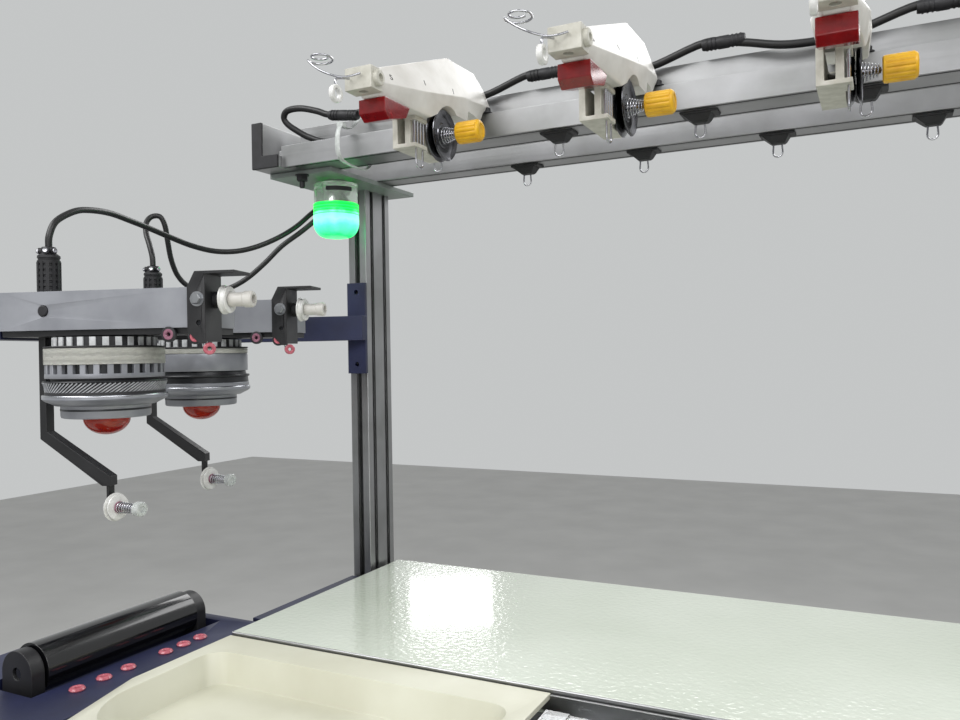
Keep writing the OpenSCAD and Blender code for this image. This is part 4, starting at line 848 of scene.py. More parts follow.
# %% In-line connectors and the three leads
# The rail's lead has a small ribbed connector on each arch and one in its spare loop.
steps, feeder_lead_d, rail_lead_d = 6, 7, 8
connector_wall = [(5.8, -19), (5.8, -6), (6.4, -5), (6.4, 5), (5.8, 6), (5.8, 19)]
connector = joined(
    lathe([(0, -21), (5.2, -21)] + connector_wall + [(5.2, 21), (0, 21)], 24),
    *[ring_of([(5.2, z), (6.4, z), (6.4, z + 1.6), (5.2, z + 1.6)], 24) for z in (-17, -13, -9, 8, 12, 16)],
)
connector = moved(connector, turned(90, "Y"))
connectors = grow(
    "lead_connectors", row_tree, black_moulding, Piece=pattern_part("connector_part", connector),
    Count=unit_count - 1, Start=mm(-709, 240, 1809.5), Step=mm(unit_pitch, 0, 0),
)
lead("feeder_lead_1", lead_1_points, steps, feeder_lead_d, "feeder_cable_1")
lead("feeder_lead_2", lead_2_points, steps, feeder_lead_d, "feeder_cable_2")
along_loop = at(-962, 214, 1793) @ turned(8, "Y")
loop_connector = make("loop_connector", connector, black_moulding, place=along_loop)
lead("tensioner_lead", rail_lead_points, steps, rail_lead_d, "tensioner_cable")

# %% [markdown]
# ## Sheet, mouldings, rails and table
# These shapes come from CAD as they are. Each gets its finish and an edge that fits how it is made:
# a folded sheet has about 1 mm, a sawn extrusion 0.4 mm, and a thick moulding 2 mm.

# %% Covers, housings and table
cover_edge, sheet_edge, moulding_edge = 1.2, 1.0, 2.0
for node in ("left_side_cover", "right_side_cover", "end_cabinets"):
    dressed(node, navy_coat, cover_edge, segments=3, louvred=True)
dressed("feeder_arm", navy_coat, cover_edge, segments=3)
for node in ("head_housing", "right_housing"):
    dressed(node, cream_moulding, moulding_edge, angle=40, segments=3)
dressed("front_fairing", cream_moulding, sheet_edge)
dressed("screen_bezel", navy_coat, sheet_edge)
dressed("screen", screen_glass, 0.6)
dressed("yarn_table", green_lit_cream_enamel, cover_edge, segments=3)
print("covers and table have edges of", cover_edge, "mm")

# %% Frame and rails
extrusion_edge = 0.4
dressed("base_frame", frame_paint, sheet_edge)
dressed("levelling_feet", frame_paint, 0.8)
dressed("rear_panel", panel_paint, 0.8, louvred=True)
for node in ("table_strip", "front_rail", "rear_rail", "cover_rails"):
    dressed(node, rail_aluminium, extrusion_edge)
dressed("posts", post_aluminium, extrusion_edge)
dressed("cross_members", cross_aluminium, 0.5)
dressed("post_plates", plate_paint_green_lit, 0.6)
dressed("end_caps", black_moulding, 0.8)
print("extrusions have edges of", extrusion_edge, "mm")

# %% Knitting unit, covers and drives
for node in ("front_needle_bed", "rear_needle_bed", "carrier_rails", "carriage_rails", "take_down_roller"):
    dressed(node, ground_steel, 0.3)
for node, finish, edge in (
    ("start_bar", chrome, 0.5),
    ("carriage", frame_paint, 1.5),
    ("yarn_carrier_1", orange_moulding, 0.4),
    ("yarn_carrier_2", orange_moulding, 0.4),
    ("pressure_roller", gloss_roller, 0.5),
    ("belt_drive", belt_rubber, 0.4),
    ("emergency_stop", red_moulding, 0.4),
    ("side_tension_bracket", black_coat, 0.5),
    ("side_arms", chrome, 0),
    ("roller_brackets", black_coat, 0.5),
    ("signal_lamp_body", clear_lamp, 0.4),
    ("sliding_cover_left", clear_acrylic, 0.4),
    ("sliding_cover_right", clear_acrylic, 0.4),
    ("feed_roller", gloss_roller, 0.6),
):
    dressed(node, finish, edge)
print("knitting unit dressed")

# %% Tensioners and feeders from CAD
# A tensioner's housing is round all over, so even its shallow edges are softened.
dressed("tensioner_housings", white_moulding, 2.4, angle=20, segments=3)
dressed("tensioner_lamps", red_lens, 0.8)
dressed("tensioner_brackets", beige_moulding, 0.6)
dressed("feeder_housings", feeder_paint, 1.0)
dressed("feeder_brackets", black_coat, 0.6)

# %% [markdown]
# ## Tensioners
# Each tensioner on the rail presses the yarn between two chromed saucers. A spring on the spindle
# and a fluted knob set the pressure, four hardened rods guide the yarn, and thin wire arms carry it
# in and out. One of each piece is modelled at its own middle and set out in a row along the rail.

# %% Where the units stand
knob_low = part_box("tensioner_knobs")[0]
knob_reach = 28  # from a unit's middle to the start of its knob
first_unit = Vector((knob_low.x * 1000 - knob_reach, 215, 1768))
spindle_at = (0, -90, -45)
along_axis = at(*spindle_at) @ turned(90, "Y")


def unit_row(name, shape, finish, place=None, angle=35, replaces=()):
    """The same piece on all nine tensioners."""
    part = pattern_part(name + "_part", moved(shape, place) if place else shape)
    row = grow(
        name, row_tree, finish, angle=angle, Piece=part, Count=unit_count,
        Start=tuple(first_unit * 0.001), Step=mm(unit_pitch, 0, 0),
    )
    if replaces:
        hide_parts(*replaces)
    return row


print("first tensioner at", [round(v, 1) for v in first_unit])

# %% Saucers, spindle and spring
# A saucer's section, from its bore out: hub, step, dished wall, turned-out lip, and back under it.
saucer = ring_of([
    (3.0, 0.7), (8.4, 0.7), (9.4, 1.5), (11.2, 1.5), (12.2, 0.6), (17.6, 0.5), (19.8, 1.0), (22.6, 1.9),
    (25.0, 3.5), (25.7, 4.0), (25.2, 4.5), (22.2, 3.0), (19.4, 2.1), (17.4, 1.6), (12.6, 1.7), (11.5, 2.6),
    (9.0, 2.6), (8.0, 1.8), (3.0, 1.8),
], 72)
saucers_at = at(0, 0, 9)
pair = joined(moved(saucer, saucers_at), moved(saucer, saucers_at @ turned(180, "X")))
unit_row("tension_saucers", pair, dark_chrome, along_axis, replaces=("tensioner_discs",))
thread = [(2.6 + 0.35 * (k % 2), 13.5 + 0.5 * k) for k in range(28)]
shank = [(0, -18), (2.6, -18), (3, -17.4), (3, 12.5), (2.6, 13)]
unit_row("tension_spindles", lathe(shank + thread + [(0, 28)], 24), chrome, along_axis)
coil = spring(turns=5.5, low_radius=8.2, high_radius=4.4, height=13.5, wire=0.6)
unit_row("tension_springs", coil, chrome, along_axis @ at(0, 0, 12.4), angle=60)
print("saucers are", round(2 * max(v.x for v in saucer[0]), 1), "mm wide")

# %% Knob with flutes and a turned end
flutes, knob_r, flute_depth = 14, 11, 0.75
outline = []
for k in range(flutes * 6):
    a = 2 * math.pi * k / (flutes * 6)
    r = knob_r - flute_depth * max(0.0, math.cos(flutes * a)) ** 2
    outline.append((r * math.cos(a), r * math.sin(a)))
knob = pushed(outline, 30.5, 51.5)
skirt = lathe([(0, 28.2), (9.4, 28.2), (10.8, 29.2), (10.9, 30.7), (0, 30.7)], 48)
crown = lathe([(0, 51.2), (10.4, 51.2), (10.0, 52.8), (8.6, 54.0), (6.6, 54.2), (6.2, 53.4), (0, 53.2)], 48)
knob = joined(knob, skirt, crown)
unit_row("tension_knobs", knob, yellow_moulding, along_axis, angle=40, replaces=("tensioner_knobs",))
print("knob with", flutes, "flutes")

# %% Guide rods
rod_count, rod_step = 4, 5.7
rod = lathe([(0, -62), (1.4, -62), (1.4, -40), (0, -40)], 20)
rods = joined(*[moved(rod, at(5, -138 + rod_step * i, 0)) for i in range(rod_count)])
unit_row("guide_rods", rods, chrome, replaces=("tensioner_wires",))

# %% Wire arms and the ceramic eye
# The pigtail leaves the nose and curls up nearly one and a half turns, closing in a little.
wire_r = 1.0
nose_y = -226.5
pigtail = [
    (4, nose_y, -21), (-5, nose_y - 4, -23.5), (-13, nose_y - 9, -24), (-26, nose_y - 13, -19),
    (-38, nose_y - 12, -11),
]
curl = Vector((-35, nose_y - 4, -5))
curl_start, curl_sweep = 215, 520
for a in range(curl_start, curl_start - curl_sweep, -20):
    swept = curl_start - a
    r = 11.5 - 0.008 * swept
    across, back = r * math.cos(math.radians(a)), r * math.sin(math.radians(a))
    pigtail.append((curl.x + across, curl.y + back, curl.z + 0.009 * swept))
unit_row("pigtail_wires", drawn(smooth_path(pigtail, 3), wire_r, 8), chrome, angle=60)
lower_arm = [
    (-8, nose_y, -24), (-10, nose_y - 6, -25), (-12, nose_y - 12, -26.5), (-12.4, nose_y - 14.5, -29),
    (-12, nose_y - 14.5, -33),
]
unit_row("lower_arms", drawn(smooth_path(lower_arm, 4), wire_r, 8), chrome, angle=60)
eye = [(4.4, -1.8), (5.0, -2.4), (7.2, -2.4), (7.8, -1.6), (7.8, 1.6), (7.2, 2.4), (5.0, 2.4), (4.4, 1.8)]
unit_row("ceramic_eyes", ring_of(eye, 32), white_ceramic, at(-12, nose_y - 14.5, -40.5) @ turned(90, "Y"))
staple = [
    (5, -135, -66.3), (5, -135, -79), (5, -134, -82.5), (5, -131, -84.5), (5, -126.5, -84.5),
    (5, -123.5, -82.5), (5, -122.8, -79), (5, -122.8, -66.3),
]
unit_row("lower_staples", drawn(smooth_path(staple, 3), wire_r, 8), chrome, angle=60)
print("wire arms bent from", 2 * wire_r, "mm wire")

# %% Foot screws and nose bosses
head = [(0, 0), (6.6, 0), (6.6, 1.2), (4.2, 1.4), (4.2, 5.6), (3.4, 6.4), (1.8, 6.4), (1.6, 4.4), (0, 4.4)]
unit_row("rail_foot_screws", lathe(head, 24), black_moulding, at(16, 3, 0.2))
nose_boss = lathe([(0, 0), (7, 0), (7, 3.4), (6.2, 4.2), (3.4, 4.4), (3.0, 2.0), (0, 2.0)], 28)
unit_row("nose_bosses", nose_boss, beige_moulding, at(14, -216, -24) @ turned(90, "Y"))

# %% [markdown]
# The side of each housing carries small plain digits for the settings. Text is turned to a mesh
# first, then laid on the housing's slanted side, a tenth of a millimetre proud. A ray from the
# right finds the side and the way that it faces.


# %% Digits on the housings' sides
def digit_shape(character, size):
    """A digit as a thin closed shape, in millimetres."""
    text = bpy.data.curves.new("digit", "FONT")
    text.body = character
    text.size = size
    text.extrude = 0.12
    holder = linked("digit", text)
    mesh = bpy.data.meshes.new_from_object(holder.evaluated_get(bpy.context.evaluated_depsgraph_get()))
    shape = ([v.co.copy() for v in mesh.vertices], [tuple(f.vertices) for f in mesh.polygons])
    bpy.data.objects.remove(holder)
    return shape


housing = nodes["tensioner_housings"].data
corners = [v.co.copy() for v in housing.vertices]
walls = BVHTree.FromPolygons(corners, [tuple(f.vertices) for f in housing.polygons])
digit_size = 9.5
up_the_side = Vector((0, 0.18, 1))


def on_side(y, z):
    """The point and the outward direction where a ray from the right meets the first housing."""
    spot, normal, _, _ = walls.ray_cast((first_unit + Vector((90, y, z))) * 0.001, Vector((-1, 0, 0)))
    return spot * 1000 - first_unit, normal


digits = []
for character, y, z in (("5", -190, -16.5), ("1", -140, -8), ("1", -86, -2)):
    spot, normal = on_side(y, z)
    up = (up_the_side - normal * normal.dot(up_the_side)).normalized()
    across = up.cross(normal).normalized()
    frame_of = Matrix((across, up, normal)).transposed().to_4x4()
    frame_of.translation = spot
    digits.append(moved(digit_shape(character, digit_size), frame_of))
unit_row("setting_digits", joined(*digits), black_moulding, angle=20)
print("digits lean", round(math.degrees(normal.angle(Vector((1, 0, 0)))), 1), "degrees")

# %% [markdown]
# ## Storage feeders
# A storage feeder keeps a few turns of yarn on a drum, so the machine always draws it at the same
# tension. From the top there are a ring of light and dark teeth that a sensor counts, the band of
# yarn, a castellated ring, a ring of slanted bristles that holds the yarn back, a polished rim and
# a round grey foot over a red lamp. The second drum holds few turns, so its smooth wall shows.
# A drum could be one turned profile, but each layer has its own finish, so each is its own ring.

# %% Where the drums stand
spin = {j["child"]: j for j in frame["joints"]}
feeder_turn = 16.3  # degrees that the feeders' arm stands off the machine's axis
feeder_z = 1530.5
yaw = turned(feeder_turn, "Z")
drum_at = {}
for body in ("drum_1", "drum_2"):
    pivot = spin[body]["pos_m"]
    drum_at[body] = at(pivot[0] * 1000, pivot[1] * 1000, feeder_z) @ yaw
    print(body, "stands at", [round(v, 1) for v in drum_at[body].translation])


def drum_layer(body, name, profile, finish, sides=112, angle=40, **more):
    """One turned layer of a drum, which turns with it."""
    ring, place = ring_of(profile, sides), drum_at[body]
    return make(f"{body}_{name}", ring, finish, body, place=place, angle=angle, **more)


def drum_teeth(body, name, shape, finish, count, radius, height):
    """The same tooth all round a drum, at that radius and height."""
    place = drum_at[body] @ Vector((0, 0, height))
    return grow(
        f"{body}_{name}", ring_tree, finish, body, Piece=pattern_part(name + "_part", shape), Count=count,
        Radius=radius / 1000, Place=mm(*place), Turn=(0, 0, math.radians(feeder_turn)),
    )


# %% Turned layers that both drums have
core = [
    (6.3, -88), (6.3, -7.2), (48.0, -7.2), (48.2, -16.2), (57.6, -16.3), (58.0, -17.0), (57.4, -18.0),
    (51.5, -18.1), (51.5, -66), (40, -68), (40, -88), (6.3, -88),
]
foot = [
    (52, -65.4), (59.2, -65.8), (59.9, -67.2), (59.9, -69.0), (57.0, -71.6), (52.6, -73.6), (48.2, -76.0),
    (43.6, -76.4), (43.1, -77.4), (43.0, -86.8), (42.2, -88.4), (40.6, -88.9), (24.6, -88.9), (24.6, -86),
    (40.2, -85), (40.2, -67),
]
rim = [(56, -64.6), (59.0, -64.8), (59.8, -65.5), (59.95, -66.4), (59.6, -67.4), (56, -67.8)]
groove = [(42.6, -79.2), (43.35, -79.4), (43.35, -81.2), (42.6, -81.4)]
for body in drum_at:
    place, replaced = drum_at[body], ("feeder_" + body,)
    make(body + "_core", lathe(core, 96), black_moulding, body, place=place, replaces=replaced)
    drum_layer(body, "foot", foot, drum_grey)
    drum_layer(body, "rim", rim, polished_rim, angle=50)
    # Painted shade: a thin dark ring on the foot stands for the shade in its groove.
    drum_layer(body, "groove", groove, dark_band_and_gap_shade, 96, 35)
print("both drums have", len(core) - 1, "corners in their core's section")


# %% Yarn on a drum
thread_step = 0.42


def wound(radius, bulge, low, points):
    """The outside of wound yarn: one thread above another, with a point each half a thread."""
    threads = [k / 2 for k in range(points)]
    return [(radius + bulge * math.sin(math.pi * (k + 0.5)), low + thread_step * k) for k in threads]


yarn = [(54.3, -34.4)] + wound(radius=57.5, bulge=0.4, low=-34.4, points=77) + [(54.3, -18.3)]
drum_layer("drum_1", "yarn", yarn, wound_yarn, angle=60, replaces=("yarn_winding",))

# %% Castellated ring of the first drum
castle = [(51.5, -48.4), (56.6, -48.4), (57.0, -47.8), (56.8, -43.8), (51.5, -43.8)]
drum_layer("drum_1", "castle_base", castle, drum_grey)
merlon = pushed([(-5.4, -2.9), (0.0, -2.9), (0.5, -2.5), (0.5, 2.5), (0.0, 2.9), (-5.4, 2.9)], -9.2, 0)
drum_teeth("drum_1", "castellations", merlon, drum_grey, count=28, radius=56.2, height=-34.7)
# Painted shade: a dark ring behind the castellations shows through their gaps as shade.
castle_back = [(50.6, -44), (52.4, -44), (52.4, -34.6), (50.6, -34.6)]
drum_layer("drum_1", "castle_back", castle_back, dark_band_and_gap_shade, 96, 35)

# %% Bristles of the first drum
# Each bristle leans round the drum and a little outwards, so the ring reads as a twisted rope.
bed = [(51.5, -64.9), (57.6, -64.9), (55.2, -52), (51.5, -52)]
drum_layer("drum_1", "bristle_bed", bed, black_moulding)
lip = [(54, -52.6), (58.6, -52.5), (59.3, -51.8), (58.6, -51.0), (54, -50.8)]
drum_layer("drum_1", "bristle_lip", lip, dark_band_and_gap_shade)
bristle_count = 84
lean_out, lean_round = 10, -55
bristle = pushed([(-0.4, -0.55), (0.4, -0.55), (0.4, 0.55), (-0.4, 0.55)], -10.6, 10.6)
bristle = moved(bristle, turned(lean_out, "Y") @ turned(lean_round, "X"))
drum_teeth("drum_1", "bristles", bristle, bristle_nylon, bristle_count, radius=57.0, height=-58.8)
print("first drum has", bristle_count, "bristles")

# %% Second drum: smooth wall, few turns, a dark band and a grey band
wall = [(52, -46), (56.8, -46), (57.2, -45.2), (57.2, -26.4), (56.4, -24.4), (52, -24.4)]
drum_layer("drum_2", "wall", wall, drum_grey)
few = [(52, -24.2)] + wound(radius=57.2, bulge=0.35, low=-24.2, points=28) + [(52, -18.4)]
drum_layer("drum_2", "turns", few, wound_yarn, angle=60)
dark = [
    (52, -60.4), (58.0, -60.4), (57.2, -54.0), (58.9, -53.0), (59.3, -51.8), (58.8, -50.8), (55.4, -50.4),
    (54.4, -46.4), (52, -46.4),
]
drum_layer("drum_2", "dark_band", dark, dark_band_and_gap_shade)
grey = [(52, -65), (58.4, -65), (58.4, -61), (57.8, -60.4), (52, -60.4)]
drum_layer("drum_2", "grey_band", grey, drum_grey)

# %% Sensor teeth under the housings
tooth_count = 26
tooth = pushed([(-1.4, -3.0), (0.0, -3.0), (0.4, -2.6), (0.4, 2.6), (0.0, 3.0), (-1.4, 3.0)], -8.6, 0)
for body in drum_at:
    drum_teeth(body, "sensor_teeth", tooth, tooth_white, tooth_count, radius=49.4, height=-7.4)
print("each drum has", tooth_count, "sensor teeth")

# %% [markdown]
# The parts that stand still are dressed next: the red domes, ribbed connector boots with their clamp
# screws, round black covers, the two disc sets on springs, hexagon bolts and pink eyelets. They sit
# on the frame of their own feeder, so one set of sizes serves both.

# %% Domes under the drums
dome_r, dome_depth, dome_top = 22.9, 18.1, -89.4
dome = [(0, -107.6)]
for a in range(6, 90, 6):
    dome.append((dome_r * math.sin(math.radians(a)), dome_top - dome_depth * math.cos(math.radians(a))))
dome += [(dome_r, -89.3), (0, -89.3)]
for body in drum_at:
    replaced = ("feeder_lenses",) if body == "drum_1" else ()
    make(body + "_dome", lathe(dome, 64), red_dome, place=drum_at[body], angle=60, replaces=replaced)

# %% Boots on the feeders
rib_step = 6
boot = [(0, 0.2), (10.2, 0.2)]
for low in range(0, 6 * rib_step, rib_step):
    boot += [(10.2, 1.6 + low), (11.2, 2.2 + low), (11.2, 5.4 + low), (10.2, 6.0 + low)]
boot += [(10.6, 37.8), (11.2, 38.2), (11.0, 40.4), (8.6, 42.2), (7.2, 43.0), (7.2, 48.4), (6.4, 49.6)]
boot += [(3.6, 50.0), (0, 50.0)]
flat = block((-1.6, -11.6, 3), (1.6, 11.6, 34))
ribs = joined(*[moved(flat, turned(a, "Z")) for a in range(0, 180, 30)])
clamp_screw = lathe([(0, 7), (2.6, 7), (2.6, 11.2), (2.0, 12.0), (1.0, 12.1), (0.9, 11), (0, 11)], 16)
ear = lathe([(0, 6), (3.6, 6), (3.6, 9.6), (0, 9.6)], 16)
ears_at = [at(0, 0, 45.4) @ turned(a, "Z") @ turned(90, "Y") for a in (-20, 100, 200, 290)]
boot = joined(lathe(boot, 40), ribs, *[moved(ear, place) for place in ears_at])
clamp_screws = joined(*[moved(clamp_screw, place) for place in ears_at])
round_cover = lathe([(0, 0), (22.6, 0), (22.6, 1.2), (21.4, 2.2), (0, 2.4)], 56)
side_plug = lathe([(0, 0), (5.4, 0), (5.4, 3.4), (4.6, 4.2), (0, 4.4)], 32)
covers = joined(moved(round_cover, at(-4, 0, 37.2)), moved(side_plug, at(-44, -33.2, 19.5) @ turned(90, "X")))
for body in drum_at:
    boot_at = drum_at[body] @ at(-64, 0, 39)
    replaced = ("feeder_plugs",) if body == "drum_1" else ()
    make(body + "_boot", boot, black_moulding, place=boot_at, angle=32, replaces=replaced)
    make(body + "_boot_screws", clamp_screws, chrome, place=boot_at)
    make(body + "_covers", covers, black_moulding, place=drum_at[body])
print("boots have", len(ears_at), "clamp screws each")


# %% Disc sets on springs
# White ceramic discs on a steel pin, a conical spring and a clear knob, along the local Z.
discs = joined(
    ring_of([
        (3.1, 3.6), (6, 3.6), (7, 4.4), (12.6, 4.2), (14.5, 5.0), (14.6, 5.8), (12.4, 6.4), (7.4, 6.6),
        (3.1, 6.6),
    ], 48),
    ring_of([
        (3.1, 7.4), (7.4, 7.4), (11.4, 7.8), (13.0, 8.8), (12.8, 9.8), (10.4, 10.4), (6.8, 10.2), (3.1, 10.2),
    ], 48),
)
liner = ring_of([(3.05, 10.4), (5.8, 10.4), (6.2, 11.4), (5.6, 12.4), (3.05, 12.4)], 32)
knob_z = 38
pin = lathe([(0, 0.2), (2.9, 0.2), (2.9, knob_z), (0, knob_z)], 24)
knob = [(0, -2), (6.6, -2), (7.6, -1), (7.6, 5), (6.6, 6.4), (3.4, 6.6), (3.0, 4.8), (0, 4.8)]
knob = lathe([(r, knob_z + z) for r, z in knob], 20)
low_set_at = at(5, -2, -182) @ turned(-feeder_turn, "Z") @ turned(90, "Y")
for body in drum_at:
    place = drum_at[body] @ low_set_at
    replaced = ("feeder_discs",) if body == "drum_1" else ()
    make(body + "_low_set_discs", discs, white_ceramic, place=place, replaces=replaced)
    make(body + "_low_set_liner", liner, mauve_ceramic, place=place)
    make(body + "_low_set_pin", pin, chrome, place=place)
    make(body + "_low_set_knob", knob, frosted_knob, place=place, angle=25)
    coil = spring(turns=7.0, low_radius=5.6, high_radius=4.2, height=knob_z - 15, wire=0.55)
    make(body + "_low_set_spring", coil, chrome, place=place @ at(0, 0, 12.6), angle=60)
print("low disc sets on both feeders")

# %% Hooks with their wheels and bolts
collar = lathe([(0, 0), (8.4, 0), (8.4, 6.4), (7.6, 7.0), (4.4, 7.2), (4.4, 33), (0, 33)], 32)
wheel = ring_of([
    (4.5, 8.0), (7.4, 8.0), (8.4, 9.2), (12.4, 9.4), (13.6, 8.2), (14.4, 8.6), (14.4, 9.8), (13.0, 11.0),
    (12.6, 13.6), (13.4, 14.6), (12.8, 15.6), (8.4, 15.4), (7.4, 14.4), (4.5, 14.4),
], 48)
sleeve = ring_of([
    (4.5, 15), (6.6, 15), (7.0, 16), (7.0, 29), (6.6, 30), (8.0, 31), (8.2, 38), (7.2, 39.6), (4.5, 39.8),
], 36)
hexagon = lathe([(0, 0), (5.6, 0), (5.6, 3.6), (4.8, 4.4), (0, 4.4)], 6)
bolt = joined(hexagon, ring_of([(2, -0.8), (7.2, -0.8), (7.2, 0), (2, 0)], 32))
for body in drum_at:
    hook_pin = drum_at[body] @ at(133.3, -18, 27) @ turned(90, "Y")
    make(body + "_hook_collar", collar, black_moulding, place=hook_pin)
    make(body + "_hook_wheel", wheel, white_ceramic, place=hook_pin)
    make(body + "_hook_sleeve", sleeve, white_moulding, place=hook_pin)
    bolt_at = drum_at[body] @ at(125, -40.1, 27) @ turned(90, "X")
    make(body + "_hook_bolt", bolt, ground_steel, place=bolt_at, angle=20)
print("hooks dressed")

# %% Pink and mauve eyelets on the feeders
eyelet = [(2.1, -2.2), (3.0, -3.0), (5.0, -3.0), (5.9, -2.0), (5.9, 2.0), (5.0, 3.0), (3.0, 3.0), (2.1, 2.2)]
eyelet = ring_of(eyelet, 28)
boss = joined(
    ring_of([(5.4, -1.2), (7.4, -1.2), (7.6, 2.4), (5.4, 2.8)], 28),
    lathe([(0, -4), (4, -4), (4, -2.4), (0, -2.4)], 16),
)
lever_wire = [(125, -33.5, -9), (127, -33.8, -14), (128.6, -34, -19), (129.6, -34.4, -21)]
lever_wire = drawn(smooth_path(lever_wire, 4), 0.8, 8)
facing_front = turned(90, "X")
for body in drum_at:
    for number, (x, z, tone) in enumerate(((93, -6.5, mauve_ceramic), (121, -9, pink_ceramic))):
        place = drum_at[body] @ at(x, -35.0, z) @ facing_front
        make(f"{body}_eyelet_{number}", eyelet, tone, place=place)
        make(f"{body}_boss_{number}", boss, black_moulding, place=place)
    lever_at = drum_at[body] @ at(134, -34, -21) @ turned(35, "Z") @ facing_front
    make(body + "_lever_eyelet", eyelet, pink_ceramic, place=lever_at)
    make(body + "_lever_wire", lever_wire, chrome, place=drum_at[body], angle=60)

# %% Eyelets in the left cover
low, high = (corner * 1000 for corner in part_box("yarn_eyelets"))
grommet = [
    (2.6, -5.6), (4.2, -5.6), (4.3, 0.1), (7.2, 0.2), (7.5, 1.2), (6.4, 2.6), (4.6, 3.0), (3.2, 2.4),
    (2.6, 1.2),
]
eyelet_places = [((low.x + high.x) / 2, y, high.z - 3) for y in (-85, -55, -26, 22, 47, 71)]
grommet = pattern_part("cover_eyelet_part", ring_of(grommet, 36))
rings = grow("cover_eyelets", points_tree, pink_ceramic, points=eyelet_places, Piece=grommet)
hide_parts("yarn_eyelets")
print("eyelets in the cover:", len(eyelet_places))

# %% [markdown]
# ## Rail details
# The rails are slotted extrusions; the shade in each slot along the underside is painted as a black strip,
# beside a bright rib.
# Black snap-in clips hold a steel wire loop each, and the yarns run through the loops. A clear cable
# tie holds the lead's spare loop to the rail.

# %% Painted shade in the slots, and ribs under the rails
rail_low, rail_high = (corner * 1000 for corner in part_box("front_rail"))
rear_low, rear_high = (corner * 1000 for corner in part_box("rear_rail"))
slot_w = 3.2
for name, low, high in (("front_rail", rail_low, rail_high), ("rear_rail", rear_low, rear_high)):
    left, right, top = low.x + 1, high.x - 1, low.z + 0.4
    # Painted shade: a thin black block at each slot's mouth stands for the dark inside the slot.
    slot_shades = [block((left, y, low.z - 0.15), (right, y + slot_w, top)) for y in (low.y + 3, high.y - 7)]
    make(name + "_slots", joined(*slot_shades), black_moulding)
    rib = block((left, low.y + 9.5, low.z - 0.12), (right, low.y + 11.5, top))
    make(name + "_rib", rib, rail_aluminium)
print("slots run over", round(right - left), "mm")

# %% Where the clips hang
clip_count, clip_step = 12, 152
front_shift = -60  # the front row hangs a little to the left of the rear row
rail_middle = (rail_low.x + rail_high.x) / 2
along = [rail_middle + (i - (clip_count - 1) / 2) * clip_step for i in range(clip_count)]
clip_places = [(x, rear_low.y + 19, rear_low.z) for x in along]
clip_places += [(x + front_shift, rail_low.y + 21, rail_low.z) for x in along]


# %% Clips and their wire loops
def tapered(top, bottom, z0, z1):
    """A closed block whose upper and lower rectangles differ; each is x0, y0, x1, y1."""
    corners = []
    for (x0, y0, x1, y1), z in ((top, z1), (bottom, z0)):
        corners += [Vector(p) for p in ((x0, y0, z), (x1, y0, z), (x1, y1, z), (x0, y1, z))]
    return corners, [(0, 1, 2, 3), (7, 6, 5, 4), (0, 4, 5, 1), (1, 5, 6, 2), (2, 6, 7, 3), (3, 7, 4, 0)]


clip_body = joined(
    tapered((-19, -11, 19, 11), (-18, -10.5, 18, 10.5), -2.6, -0.2),
    tapered((-16, -10, 13, 10), (-8, -7, 9, 7), -9.6, -2.6),
    tapered((-8, -6.4, 9, 6.4), (-6.4, -4.6, 7.4, 4.6), -11.2, -9.6),
)
hoop_r, hoop_rise, hoop_low = 5.0, 5.2, -20
hoop = [(-4.6, 0, -9), (-4.6, 0, -14), (-hoop_r, 0, -19)]
for a in range(190, 351, 20):
    hoop.append((hoop_r * math.cos(math.radians(a)), 0, hoop_low + hoop_rise * math.sin(math.radians(a))))
hoop += [(hoop_r, 0, -19), (4.6, 0, -14), (4.6, 0, -9)]
hoop = drawn(smooth_path(hoop, 3), wire_r, 8)
clip_part, hoop_part = pattern_part("clip_part", clip_body), pattern_part("hoop_part", hoop)
clips = grow("loop_clip_bodies", points_tree, black_moulding, points=clip_places, Piece=clip_part)
round_edges(clips, 0.5)
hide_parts("loop_clips")
grow("loop_clip_hoops", points_tree, chrome, points=clip_places, angle=60, Piece=hoop_part)
print("clips on the rails:", len(clip_places))

# %% Cable tie
# A wire of round section along the tie's route, widened to a flat strap.
tie_x, strap_r, strap_widening = -957, 1.0, 3.4
tie_route = [
    (209, 1776), (202, 1777), (196, 1771), (193.5, 1762), (193.5, 1748), (198, 1738), (211, 1733.5),
    (232, 1732.5), (252, 1734), (261.5, 1742), (263.5, 1758), (263.5, 1782), (260, 1797.5), (251, 1801),
    (241, 1797), (230, 1786), (220, 1778), (209, 1776),
]
strap = drawn(smooth_path([(0, y, z) for y, z in tie_route], 3), strap_r, 8)
strap = moved(strap, at(tie_x, 0, 0) @ Matrix.Diagonal((strap_widening, 1, 1, 1)))
make("cable_tie", strap, frosted_knob, angle=50)
tie_head = block((tie_x - 4.5, 198, 1774.5), (tie_x + 4.5, 206, 1780.5))
make("cable_tie_head", tie_head, frosted_knob, edge=0.8)
print("tie is", round(sum(math.dist(a, b) for a, b in zip(tie_route, tie_route[1:]))), "mm round")

# %% Bolt under the end plate
plate_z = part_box("post_plates")[0].z * 1000
plate_bolt = joined(
    lathe([(0, -17), (2.8, -17), (3.4, -16), (3.4, 0), (0, 0)], 20),
    lathe([(0, -8.4), (6.4, -8.4), (7.4, -7.4), (7.4, -1.2), (0, -1.2)], 6),
    ring_of([(3, -1.2), (9, -1.2), (9, 0), (3, 0)], 32),
)
make("plate_bolt", plate_bolt, black_moulding, place=at(-1047, 240, plate_z), angle=25)
print("plate's underside is at", round(plate_z, 1))

# %% [markdown]
# ## Signal lamp, knobs and plugs
# The lamp's lit half is one turned lens: four ribs below the rim, a plain wall and a rounded end. Its
# grooves are real, because a bump in the shader can't shade a surface that shines by itself, and the
# rib shades are thin rings in them. A dark band lies in the clear half, a fifth of the way round.

